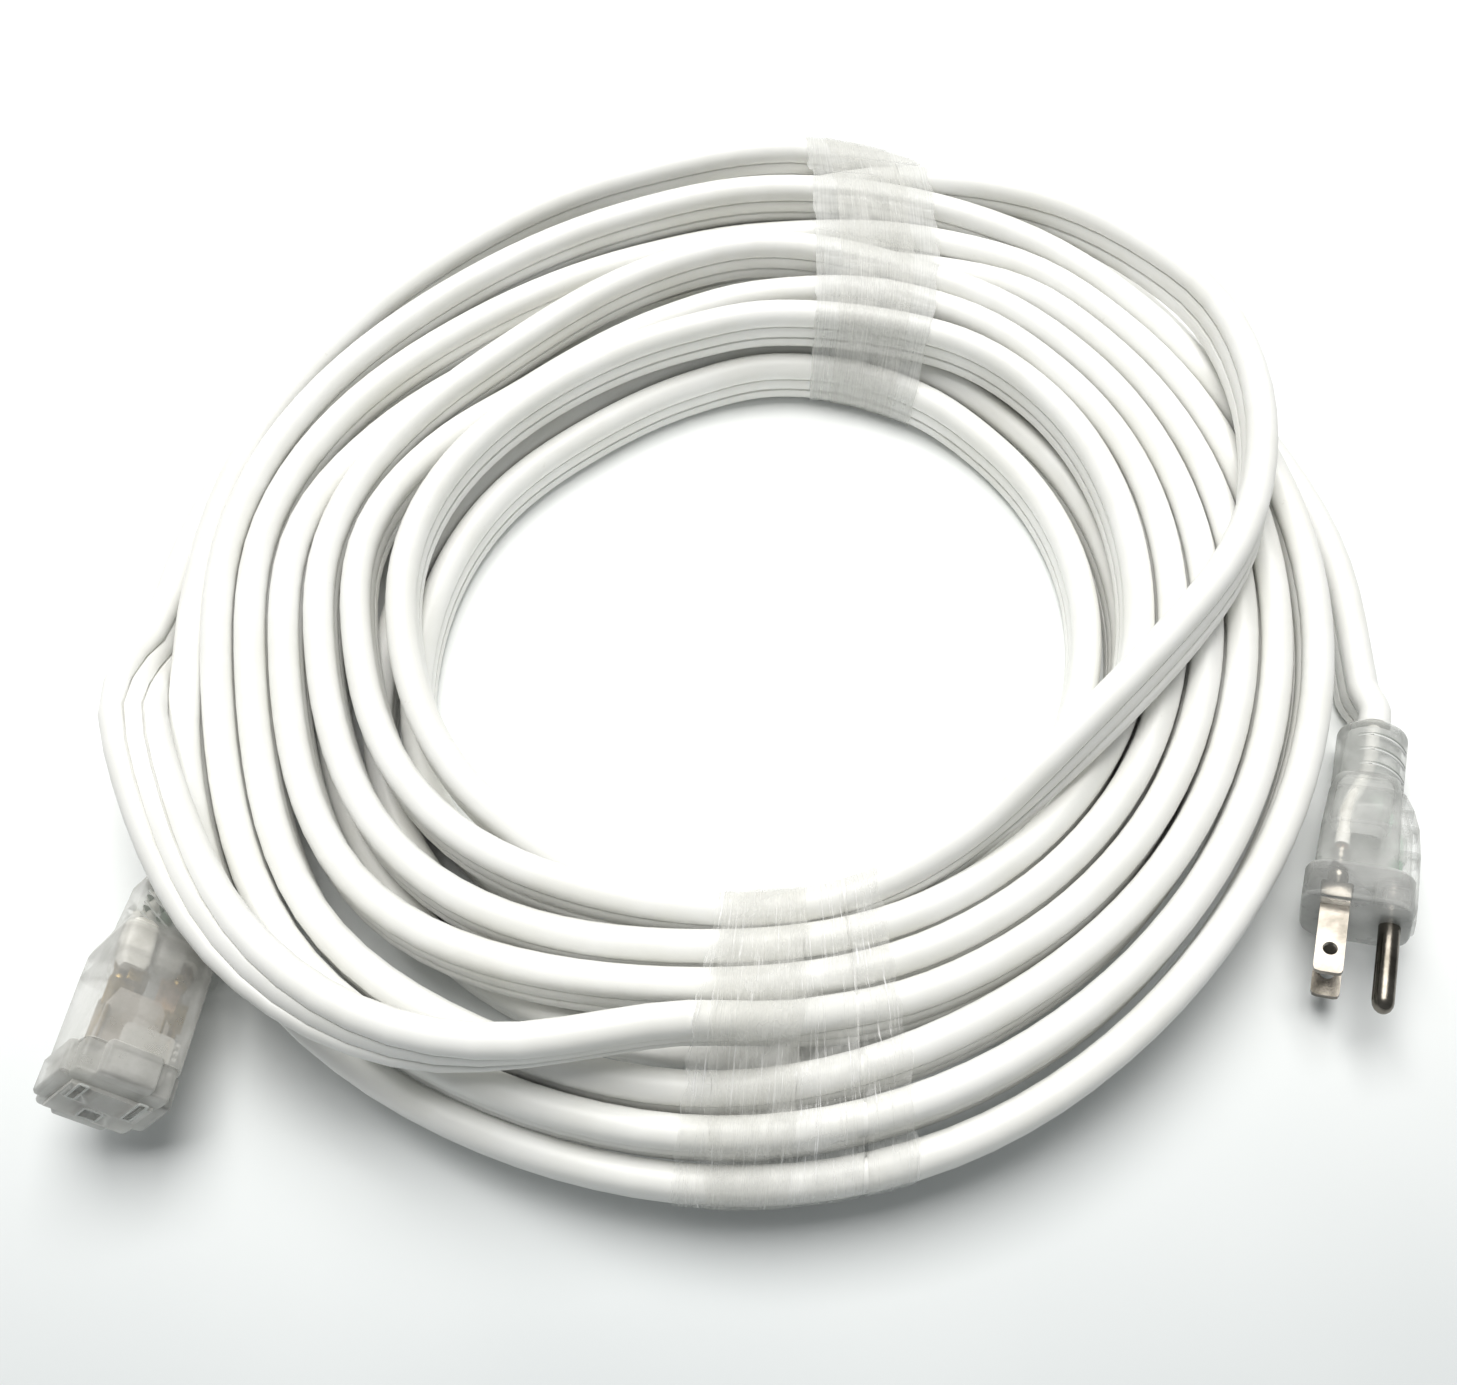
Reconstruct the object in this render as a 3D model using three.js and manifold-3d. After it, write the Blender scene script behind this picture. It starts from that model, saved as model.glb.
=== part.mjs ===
// A flat three-core extension cord, wound in a ring of two tiers and held by two bands of clear tape.
// Millimetres, +Z up, the floor at z = 0. The viewer stands at -Y; left is -X and far is +Y.
// The winding runs clockwise seen from above: left, far, right, near, and round again.
import * as THREE from 'three';
import { mergeVertices } from 'three/addons/utils/BufferGeometryUtils.js';
import Module from 'manifold-3d';

const wasm = await Module();
wasm.setup();

// ---- cord ----
const CORD_WIDTH = 15;
const CORD_THICKNESS = 7.5;
const CORD_SHOULDER = 0.54 * CORD_THICKNESS; // half width of the straight side of the section
const PART_GAP = 0.3; // between any two pieces that do not touch

// ---- coil ----
const STEPS_PER_TURN = 24;
const TIER_GAP = 0.6;
const TIER_HEIGHT = CORD_WIDTH + TIER_GAP;
const FLOOR_CUT = 0.1 * CORD_THICKNESS; // how much of the lowest edges is cut flat by the floor
const STRAIGHT_END = CORD_WIDTH;
// the winding, a list for each turn; a row is degrees past the left side, radius, tier and, where it is
// not 0, its lean from upright toward the middle of the ring; the cord turns over once, at the overpass
const WINDING = [
  [[0, 134, 0], [21, 131.6, 0], [42, 125.5, 0], [87, 124.4, 0], [112, 126.4, 0], [135, 122, 0],
   [180, 120, 0], [230, 119, 0], [275, 122, 0], [317, 124, 0]],
  [[0, 113, 0], [21, 106.3, 0], [42, 98.6, 0], [87, 99.6, 0], [135, 100.6, 0], [180, 104, 0],
   [230, 107, 0], [275, 112, 0], [317, 115.2, 0], [335, 109.5, 0]],
  [[0, 97, 0], [21, 88.5, 0], [42, 81, 0], [87, 80, 0], [135, 84, 0], [180, 90, 0], [230, 96, 0],
   [275, 99.6, 0], [305, 103, 0], [317, 104.6, 0], [330, 101.6, 0], [345, 95, 0]],
  [[0, 88.5, 0], [21, 80, 0], [42, 72.5, 0], [87, 71.8, 0], [135, 75, 0], [180, 80, 0],
   [230, 86, 0], [265, 89.3, 0], [285, 91, 0], [298, 92.5, 0.2], [309, 94.7, 0.6],
   [320, 96.4, 0.9], [333, 96.4, 1], [346, 95.4, 1]],
  [[0, 94, 1], [42, 81, 1], [87, 77.5, 1], [112, 80.5, 1], [135, 87.2, 1], [160, 89.3, 1],
   [180, 89.8, 1], [205, 92.2, 1], [230, 95.6, 1], [255, 99.5, 1], [280, 104, 1], [300, 112.4, 1],
   [317, 118.2, 1], [335, 117, 1], [347, 115.4, 1]],
  [[0, 114.6, 1], [42, 99, 1], [87, 103.2, 1], [112, 101.2, 1], [135, 104.2, 1], [160, 106.1, 1],
   [180, 106.8, 1], [205, 108.9, 1], [230, 112.3, 1], [255, 116.3, 1], [264, 117.7, 1.15],
   [274, 120, 1.6], [282, 124, 1.98], [291, 134, 2.12], [302, 147, 2.08, 22], [312, 154.2, 2, 42],
   [322, 157.4, 1.94, 66], [332, 157.4, 1.92, 88], [341, 158.2, 1.8, 106], [347, 158.9, 1.25, 146],
   [353, 158.4, 0.5, 172]],
  [[0, 157.8, 0.08, 180], [10, 155.2, 0, 180], [20, 151.5, 0, 180], [42, 143, 0, 180],
   [60, 137, 0, 180], [80, 133.3, 0.04, 180], [92, 133.4, 0.3, 180], [103, 134.6, 0.8, 180],
   [113, 136, 1.12, 180], [122, 137.4, 1.36, 178], [131, 138, 1.57, 174], [140, 138, 1.75, 172],
   [148, 136.4, 1.92, 170], [156, 132.2, 2.03, 172], [164, 127, 2.06, 178],
   [171, 121.6, 2.06, 184], [178, 116, 2.06, 192], [185, 109.8, 2.06, 200],
   [194, 101.2, 2.06, 206], [204, 93.8, 2.06, 208], [214, 89.2, 2.04, 206], [225, 86.7, 1.8, 200],
   [238, 87, 1.45, 190], [255, 90.8, 1.1, 184], [267, 93, 1, 180], [280, 95.3, 1, 180],
   [300, 100.6, 1, 180], [317, 106.2, 1, 180], [335, 107.2, 1, 180], [347, 106.2, 1, 180]],
  [[0, 105.6, 1, 180], [21, 98, 0.75, 180], [42, 90, 0.45, 180], [87, 91.3, 0.55, 180],
   [112, 92.9, 0.88, 180], [135, 95.7, 1, 180], [160, 97.8, 1, 180], [180, 98.3, 1, 180],
   [205, 100.5, 1, 180], [230, 103.9, 1, 180], [255, 107.8, 1, 180], [280, 112.6, 1, 180],
   [300, 122, 1, 180], [317, 129.6, 1, 180], [335, 126.7, 1, 180], [347, 124.1, 1, 180]],
  [[0, 123, 1, 180], [21, 115.2, 0.6, 180], [42, 107.5, 0.2, 180], [87, 108, 0, 180],
   [112, 110, 0.5, 180], [135, 112.7, 1, 180], [160, 114.6, 1, 180], [180, 115.2, 1, 180],
   [205, 117.3, 1, 180], [230, 120.8, 1, 180], [255, 126.5, 1, 180], [280, 134.4, 0.95, 180],
   [300, 138.4, 1, 180], [317, 141, 1, 180], [335, 135.2, 1, 180], [347, 132.3, 1, 180]],
  [[0, 131.6, 1, 180], [21, 125, 0.87, 180], [42, 116.4, 0.7, 180], [87, 116.2, 0.35, 180],
   [112, 118.2, 0.7, 180], [135, 121, 1, 180], [160, 123, 1, 180], [180, 123.6, 1, 180],
   [205, 125.7, 1, 180], [230, 129.8, 1, 180], [255, 136.6, 0.97, 180], [280, 143, 0.9, 180],
   [300, 146.8, 0.95, 180], [317, 149.2, 0.97, 180], [335, 143.4, 1, 180], [347, 140.4, 1, 180]],
  [[0, 139.8, 1, 180], [21, 133.7, 1, 180], [42, 125.6, 1, 180], [87, 124.6, 1, 180],
   [112, 126.8, 1, 180], [135, 129.4, 1, 180], [160, 131.4, 1, 180], [180, 133.3, 1, 180],
   [205, 135.2, 1, 180], [230, 139, 0.9, 180], [255, 146.4, 0.6, 180], [280, 151.2, 0.4, 180],
   [300, 154.6, 0.32, 180], [315, 157.4, 0.68, 180], [326, 155.4, 1, 180], [334, 152.4, 1.02, 180],
   [341, 149.9, 1, 180], [347, 148.4, 0.82, 180], [353, 148.4, 0.62, 180]],
  [[0, 148.4, 0.5, 180], [10, 146.4, 0.65, 180], [21, 142.6, 0.84, 180], [42, 136.5, 1, 180],
   [70, 137.3, 1, 180], [82, 138.6, 1, 180], [92, 141.6, 0.93, 180], [100, 143.6, 0.75, 180],
   [113, 144.4, 0.45, 180], [127, 143.4, 0.3, 180], [138, 142, 0.25, 180], [150, 141.2, 0.2, 180],
   [159, 142.4, 0.12, 180], [167, 145.5, 0.04, 180], [174, 148, 0, 180], [184, 149.3, 0, 180]],
];

// ---- tape ----
const TAPE_WIDTH = 48;
const TAPE_WALL = 0.4;
const TAPE_STEPS = 8;
const NEAR_TAPE_ANGLE = -87;
const FAR_TAPE_ANGLE = 73;
const TAPE_LIFT = FLOOR_CUT + TAPE_WALL + PART_GAP; // the coil rides this much higher over a tape band
const LIFT_PLATEAU = 17; // degrees either side of a band that stay fully lifted
const LIFT_FADE = 20;

// ---- conductors ----
const CORE_RADIUS = 1.7;
const COPPER_RADIUS = 1.2;
const CORE_PITCH = 4.2; // between the cores where they leave the cord
const BLADE_OFFSET = 6.35; // standard spacing of the blades from the middle
const GROUND_OFFSET = 11.9; // standard spacing of the ground pin from the line of the blades

// ---- plug ----
const PLUG_LENGTH = 52;
const PLUG_COLLAR_RADIUS = 8.5;
const PLUG_COLLAR_LENGTH = 16;
const PLUG_AXIS_Z = 4.2;
const PLUG_HALF = 11.4; // half width of the front flange
const PLUG_FLANGE = 9;
const BLADE_LENGTH = 17;
const BLADE_WIDTH = 6.35;
const BLADE_THICKNESS = 1.5;
const PIN_LENGTH = 21.4;
const PIN_RADIUS = 2.38;
const BARREL_RADIUS = 2.3;
const BLADE_CRIMP_REACH = 18;
const PIN_CRIMP_REACH = 16;
const CRIMP_LENGTH = 10;
const BLADE_SEAT = 1; // how far a blade runs into its crimp barrel
const PLUG_AT = [128.2, -90.5, 12];
const PLUG_TURN = [-18.6, 5, 161.5];

// ---- connector ----
const CONNECTOR_LENGTH = 54;
const NECK_LENGTH = 16;
const CRIMP_SETBACK = 4; // from the neck to the crimp barrels
const CONNECTOR_CRIMP_LENGTH = 13;
const NECK_WIDTH = 17.5;
const NECK_DEPTH = 11;
const CONNECTOR_HALF = 11.3;
const CONNECTOR_AXIS_Z = 3.2;
const FACE_FLANGE = 7.5;
const FACE_REACH = 12.4;
const CONNECTOR_AT = [-142.6, -133.8, 30.5];
const CONNECTOR_TURN = [-1, 18, -47];

const rad = THREE.MathUtils.degToRad;
const V = (x, y, z) => new THREE.Vector3(x, y, z);

// ================= general helpers =================

// a closed body from loops with the same number of points, its ends closed by flat fans
function loft(loops) {
  const count = loops[0].length;
  const positions = [];
  loops.forEach((loop) => loop.forEach((p) => positions.push(p.x, p.y, p.z)));
  const index = [];
  for (let k = 0; k + 1 < loops.length; k += 1) {
    for (let i = 0; i < count; i += 1) {
      const a = k * count + i;
      const b = k * count + ((i + 1) % count);
      index.push(a, b, b + count, a, b + count, a + count);
    }
  }
  const last = (loops.length - 1) * count;
  for (let i = 1; i + 1 < count; i += 1) {
    index.push(0, i + 1, i);
    index.push(last, last + i, last + i + 1);
  }
  return outward(positions, index);
}

function outward(positions, index) {
  let volume = 0;
  const p = (i) => V(positions[3 * i], positions[3 * i + 1], positions[3 * i + 2]);
  for (let i = 0; i < index.length; i += 3) {
    volume += p(index[i]).dot(p(index[i + 1]).cross(p(index[i + 2])));
  }
  if (volume < 0) {
    for (let i = 0; i < index.length; i += 3) {
      [index[i + 1], index[i + 2]] = [index[i + 2], index[i + 1]];
    }
  }
  const geometry = new THREE.BufferGeometry();
  geometry.setAttribute('position', new THREE.Float32BufferAttribute(positions, 3));
  geometry.setIndex(index);
  return geometry;
}

function solid(geometry) {
  const g = geometry.clone();
  g.deleteAttribute('normal');
  g.deleteAttribute('uv');
  const m = mergeVertices(g, 1e-4);
  return new wasm.Manifold(
    new wasm.Mesh({ numProp: 3, vertProperties: m.attributes.position.array, triVerts: m.index.array }),
  );
}

function shell(body) {
  const mesh = body.getMesh();
  const geometry = new THREE.BufferGeometry();
  geometry.setAttribute('position', new THREE.Float32BufferAttribute(mesh.vertProperties, 3));
  geometry.setIndex(Array.from(mesh.triVerts));
  return geometry;
}

function joined(parts) {
  return parts.map(solid).reduce((a, b) => a.add(b));
}

function box(x0, x1, y0, y1, z0, z1) {
  const geometry = new THREE.BoxGeometry(x1 - x0, y1 - y0, z1 - z0);
  geometry.translate((x0 + x1) / 2, (y0 + y1) / 2, (z0 + z1) / 2);
  return geometry;
}

// a loop in the local XZ plane at the given y, with rounded corners
function roundedLoop(y, x0, x1, z0, z1, radius, perCorner = 4) {
  const r = Math.min(radius, (x1 - x0) / 2, (z1 - z0) / 2);
  const corners = [[x1 - r, z1 - r, 0], [x0 + r, z1 - r, 90], [x0 + r, z0 + r, 180], [x1 - r, z0 + r, 270]];
  const loop = [];
  corners.forEach(([cx, cz, start]) => {
    for (let i = 0; i < perCorner; i += 1) {
      const a = rad(start + (90 * i) / (perCorner - 1));
      loop.push(V(cx + r * Math.cos(a), y, cz + r * Math.sin(a)));
    }
  });
  return loop;
}

// a round rod through the given points; radii may differ from point to point
function rod(points, radii, sides = 10) {
  const loops = points.map((p, k) => {
    const ahead = points[Math.min(k + 1, points.length - 1)];
    const behind = points[Math.max(k - 1, 0)];
    const t = ahead.clone().sub(behind).normalize();
    const u = V(1, 0, 0).addScaledVector(t, -t.x).normalize();
    const w = t.clone().cross(u);
    const r = Array.isArray(radii) ? radii[k] : radii;
    return Array.from({ length: sides }, (_, i) => {
      const a = (2 * Math.PI * i) / sides;
      return p.clone().addScaledVector(u, r * Math.cos(a)).addScaledVector(w, r * Math.sin(a));
    });
  });
  return loft(loops);
}

// heading and roll of an end fitting: its local y leaves the face, its local z points to the ground pin
function placing(at, [heading, tilt, roll]) {
  const h = rad(heading);
  const t = rad(tilt);
  const y = V(Math.sin(h) * Math.cos(t), -Math.cos(h) * Math.cos(t), Math.sin(t));
  const side = y.clone().cross(V(0, 0, 1)).normalize();
  const up = side.clone().cross(y);
  const z = side.multiplyScalar(Math.cos(rad(roll))).addScaledVector(up, Math.sin(rad(roll)));
  const x = y.clone().cross(z);
  return new THREE.Matrix4().makeBasis(x, y, z).setPosition(...at);
}

// monotone cubic through the stations (x rising), flat at both ends
function monotone(xs, ys) {
  const n = xs.length;
  const h = xs.slice(1).map((x, i) => x - xs[i]);
  const d = h.map((step, i) => (ys[i + 1] - ys[i]) / step);
  const m = new Array(n).fill(0);
  for (let i = 1; i + 1 < n; i += 1) {
    if (d[i - 1] * d[i] > 0) {
      const w1 = 2 * h[i] + h[i - 1];
      const w2 = h[i] + 2 * h[i - 1];
      m[i] = (w1 + w2) / (w1 / d[i - 1] + w2 / d[i]);
    }
  }
  return (x) => {
    let i = 0;
    while (i + 2 < n && x > xs[i + 1]) i += 1;
    const s = Math.min(Math.max((x - xs[i]) / h[i], 0), 1);
    const a = (1 + 2 * s) * (1 - s) ** 2 * ys[i] + s * (1 - s) ** 2 * h[i] * m[i];
    return a + s * s * (3 - 2 * s) * ys[i + 1] + s * s * (s - 1) * h[i] * m[i + 1];
  };
}

// smooth cubic through the stations (x rising), straight at both ends
function flowing(xs, ys) {
  const n = xs.length;
  const h = xs.slice(1).map((x, i) => x - xs[i]);
  const above = new Array(n).fill(0);
  const bend = new Array(n).fill(0);
  for (let i = 1; i + 1 < n; i += 1) {
    const rise = (ys[i + 1] - ys[i]) / h[i] - (ys[i] - ys[i - 1]) / h[i - 1];
    const pivot = 2 * (h[i - 1] + h[i]) - h[i - 1] * above[i - 1];
    above[i] = h[i] / pivot;
    bend[i] = (6 * rise - h[i - 1] * bend[i - 1]) / pivot;
  }
  for (let i = n - 2; i > 0; i -= 1) {
    bend[i] -= above[i] * bend[i + 1];
  }
  return (x) => {
    let i = 0;
    while (i + 2 < n && x > xs[i + 1]) i += 1;
    const [a, b] = [xs[i + 1] - x, x - xs[i]];
    const straight = (ys[i] * a + ys[i + 1] * b) / h[i];
    const pull = bend[i] * (a ** 3 - a * h[i] ** 2) + bend[i + 1] * (b ** 3 - b * h[i] ** 2);
    return straight + pull / (6 * h[i]);
  };
}

// ================= the way of the cord =================

const angleAt = (turn) => Math.PI - 2 * Math.PI * turn;

function stations() {
  const row = (turn) => ([degrees, radius, tier, lean = 0]) => [turn + degrees / 360, radius, tier, lean];
  return WINDING.flatMap((rows, turn) => rows.map(row(turn)));
}

// how far the coil is lifted over the two tape bands
function lift(angle) {
  const near = (centre) => {
    const off = Math.abs(THREE.MathUtils.euclideanModulo((angle * 180) / Math.PI - centre + 180, 360) - 180);
    return 1 - THREE.MathUtils.smoothstep(off, LIFT_PLATEAU, LIFT_PLATEAU + LIFT_FADE);
  };
  return TAPE_LIFT * Math.max(near(NEAR_TAPE_ANGLE), near(FAR_TAPE_ANGLE));
}

// centre, run and standing direction of the cord, at equal angles from its start to its end
function coilWay(perTurn) {
  const list = stations();
  const turns = list.map((s) => s[0]);
  const radius = flowing(turns, list.map((s) => s[1]));
  const tier = monotone(turns, list.map((s) => s[2]));
  const lean = monotone(turns, list.map((s) => s[3]));
  const point = (turn) => {
    const angle = angleAt(turn);
    const r = radius(turn);
    const z = CORD_WIDTH / 2 - FLOOR_CUT + TIER_HEIGHT * tier(turn) + lift(angle);
    return V(r * Math.cos(angle), r * Math.sin(angle), z);
  };
  const end = turns[turns.length - 1];
  const steps = Math.ceil(end * perTurn);
  const way = [];
  for (let k = 0; k <= steps; k += 1) {
    const turn = (end * k) / steps;
    const at = point(turn);
    const run = point(Math.min(turn + 1e-4, end)).sub(point(Math.max(turn - 1e-4, 0))).normalize();
    way.push({ at, run, stand: standing(run, at, lean(turn)) });
  }
  const straight = (w, by) => ({ at: w.at.clone().addScaledVector(w.run, by), run: w.run, stand: w.stand });
  way.unshift(straight(way[0], -STRAIGHT_END));
  way.push(straight(way[way.length - 1], STRAIGHT_END));
  return way;
}

// the direction of the cord's width: upright, leaned toward the middle of the ring by the given degrees
function standing(run, at, lean) {
  const inward = V(-at.x, -at.y, 0).normalize();
  const wanted = V(0, 0, Math.cos(rad(lean))).addScaledVector(inward, Math.sin(rad(lean)));
  return wanted.addScaledVector(run, -wanted.dot(run)).normalize();
}

function section(way, outline) {
  return way.map(({ at, run, stand }) => {
    const flat = run.clone().cross(stand);
    return outline.map(([u, v]) => at.clone().addScaledVector(stand, u).addScaledVector(flat, v));
  });
}

const HALF_W = CORD_WIDTH / 2;
const HALF_T = CORD_THICKNESS / 2;
const COIL_OUTLINE = [
  [HALF_W, 0], [CORD_SHOULDER, HALF_T], [-CORD_SHOULDER, HALF_T],
  [-HALF_W, 0], [-CORD_SHOULDER, -HALF_T], [CORD_SHOULDER, -HALF_T],
];
const LEAD_OUTLINE = [
  [HALF_W, 0.22 * CORD_THICKNESS], [CORD_SHOULDER + 1.3, HALF_T], [-CORD_SHOULDER - 1.3, HALF_T],
  [-HALF_W, 0.22 * CORD_THICKNESS], [-HALF_W, -0.22 * CORD_THICKNESS], [-CORD_SHOULDER - 1.3, -HALF_T],
  [CORD_SHOULDER + 1.3, -HALF_T], [HALF_W, -0.22 * CORD_THICKNESS],
];

// the least distance between the flat sides of two strands, measured on their middle lines
function leastGap(way, perTurn) {
  const reach = CORD_WIDTH / 2 - CORD_THICKNESS / 2;
  const bars = way.map((w) => [
    w.at.clone().addScaledVector(w.stand, -reach),
    w.at.clone().addScaledVector(w.stand, reach),
  ]);
  let least = Infinity;
  let where = '';
  for (let i = 0; i < bars.length; i += 1) {
    for (let j = i + Math.round(0.4 * perTurn); j < bars.length; j += 1) {
      if (way[i].at.distanceToSquared(way[j].at) < (2 * CORD_WIDTH) ** 2) {
        const d = barDistance(bars[i], bars[j]) - CORD_THICKNESS;
        if (d < least) {
          least = d;
          where = `${(i / perTurn).toFixed(2)} / ${(j / perTurn).toFixed(2)} turns`;
        }
      }
    }
  }
  return [least, where];
}

function barDistance([a, b], [c, d]) {
  const u = b.clone().sub(a);
  const v = d.clone().sub(c);
  const w = a.clone().sub(c);
  const uu = u.dot(u);
  const uv = u.dot(v);
  const vv = v.dot(v);
  const det = uu * vv - uv * uv;
  let s = det > 1e-9 ? (uv * v.dot(w) - vv * u.dot(w)) / det : 0.5;
  s = Math.min(Math.max(s, 0), 1);
  let t = (uv * s + v.dot(w)) / vv;
  t = Math.min(Math.max(t, 0), 1);
  s = Math.min(Math.max((uv * t - u.dot(w)) / uu, 0), 1);
  return a.clone().addScaledVector(u, s).distanceTo(c.clone().addScaledVector(v, t));
}

// a short free stretch from one end of the coil to the back of a fitting
function leadWay(from, to) {
  const a0 = from.at.clone().addScaledVector(from.run, PART_GAP);
  const a1 = a0.clone().addScaledVector(from.run, 3);
  const b0 = to.at.clone().addScaledVector(to.run, PART_GAP);
  const b1 = b0.clone().addScaledVector(to.run, 3);
  const handle = a1.distanceTo(b1) / 3;
  const curve = new THREE.CubicBezierCurve3(
    a1, a1.clone().addScaledVector(from.run, handle), b1.clone().addScaledVector(to.run, handle), b1,
  );
  const steps = Math.max(4, Math.round(curve.getLength() / (0.6 * CORD_WIDTH)));
  const way = [{ at: a0, run: from.run.clone() }];
  for (let k = 0; k <= steps; k += 1) {
    way.push({ at: curve.getPointAt(k / steps), run: curve.getTangentAt(k / steps) });
  }
  way.push({ at: b0, run: to.run.clone().negate() });
  way.forEach((w, k) => {
    const s = THREE.MathUtils.smoothstep(k / (way.length - 1), 0.08, 0.92);
    const wanted = from.stand.clone().lerp(to.stand, s).normalize();
    w.stand = wanted.addScaledVector(w.run, -wanted.dot(w.run)).normalize();
  });
  return way;
}

// ================= tape =================

function hull(points) {
  const sorted = points.slice().sort((p, q) => p[0] - q[0] || p[1] - q[1]);
  const turnOf = (o, p, q) => (p[0] - o[0]) * (q[1] - o[1]) - (p[1] - o[1]) * (q[0] - o[0]);
  const half = (list) => {
    const out = [];
    list.forEach((p) => {
      while (out.length > 1 && turnOf(out[out.length - 2], out[out.length - 1], p) <= 1e-6) out.pop();
      out.push(p);
    });
    out.pop();
    return out;
  };
  return half(sorted).concat(half(sorted.reverse()));
}

// each corner of a convex outline moved out along the normals of the two sides that meet in it
function grown(outline, by) {
  const n = outline.length;
  const normal = (i) => {
    const [p, q] = [outline[i % n], outline[(i + 1) % n]];
    const l = Math.hypot(q[0] - p[0], q[1] - p[1]);
    return [(q[1] - p[1]) / l, -(q[0] - p[0]) / l];
  };
  const moved = (p, [x, y]) => [p[0] + by * x, p[1] + by * y];
  return outline.flatMap((p, i) => [moved(p, normal(i + n - 1)), moved(p, normal(i))]);
}

function tapeBand(loops, centre) {
  const middle = rad(centre);
  const mean = 120;
  const half = TAPE_WIDTH / 2 / mean;
  const touched = [];
  for (let k = 0; k + 1 < loops.length; k += 1) {
    loops[k].forEach((p, i) => {
      for (let s = 0; s < 6; s += 1) {
        const q = p.clone().lerp(loops[k + 1][i], s / 6);
        const turned = Math.atan2(q.y, q.x) - middle;
        const off = Math.atan2(Math.sin(turned), Math.cos(turned));
        if (Math.abs(off) < half + 0.04) touched.push([Math.hypot(q.x, q.y), q.z]);
      }
    });
  }
  const outline = thinned(hull(touched), 0.06);
  const inner = grown(outline, PART_GAP + 0.1);
  const outer = grown(outline, PART_GAP + 0.1 + TAPE_WALL);
  const low = Math.min(...outer.map((p) => p[1]));
  const count = inner.length;
  const positions = [];
  for (let k = 0; k <= TAPE_STEPS; k += 1) {
    const a = middle - half + (2 * half * k) / TAPE_STEPS;
    inner.concat(outer).forEach(([r, z]) => positions.push(r * Math.cos(a), r * Math.sin(a), z - low));
  }
  const index = [];
  const quad = (a, b, c, d) => index.push(a, b, c, a, c, d);
  for (let i = 0; i < count; i += 1) {
    const j = (i + 1) % count;
    for (let k = 0; k < TAPE_STEPS; k += 1) {
      const [p, q] = [2 * count * k, 2 * count * (k + 1)];
      quad(p + i, p + j, q + j, q + i);
      quad(p + count + j, p + count + i, q + count + i, q + count + j);
    }
    quad(i, count + i, count + j, j);
    const e = 2 * count * TAPE_STEPS;
    quad(e + j, e + count + j, e + count + i, e + i);
  }
  return outward(positions, index);
}

// the hull without the corners that stand out by less than the given height over their neighbours
function thinned(outline, height) {
  let kept = outline.slice();
  for (let i = 0; i < kept.length; ) {
    const [p, q, r] = [kept[(i + kept.length - 1) % kept.length], kept[i], kept[(i + 1) % kept.length]];
    const base = Math.hypot(r[0] - p[0], r[1] - p[1]);
    const out = Math.abs((r[0] - p[0]) * (q[1] - p[1]) - (r[1] - p[1]) * (q[0] - p[0])) / base;
    if (out < height) kept = kept.filter((_, k) => k !== i);
    else i += 1;
  }
  return kept;
}

// ================= fittings =================

// the way of one core inside a fitting, from the cord to its crimp barrel
function coreWay(length, axisZ, spread, x, z, reach) {
  const y0 = -length;
  const y1 = -reach;
  const at = (s, w) => V(spread + (x - spread) * w, y0 + (y1 - y0) * s, axisZ + (z - axisZ) * w);
  return [at(0, 0), at(0.26, 0), at(0.46, 0.3), at(0.64, 0.8), at(0.78, 1), at(1, 1)];
}

function conductor(group, name, way, copperLength, colour) {
  const start = way[0].clone();
  start.y += PART_GAP;
  const end = way[way.length - 1].clone();
  const bare = end.clone();
  end.y -= copperLength;
  const points = [start, ...way.slice(1, -1), end];
  group.push([`${name}_core`, rod(points, CORE_RADIUS), colour, 0.45, 0]);
  const copperStart = end.clone();
  copperStart.y += PART_GAP;
  bare.y -= PART_GAP;
  group.push([`${name}_strands`, rod([copperStart, bare], COPPER_RADIUS, 8), 0xb8713f, 0.35, 0.9]);
}

const WHITE_CORE = 0xe8e6df;
const GREEN_CORE = 0x2f7d4f;
const NICKEL = 0xb9b6ad;
const BRASS = 0x9c7a45;
const CLEAR = 0xb9b8b0;

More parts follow.
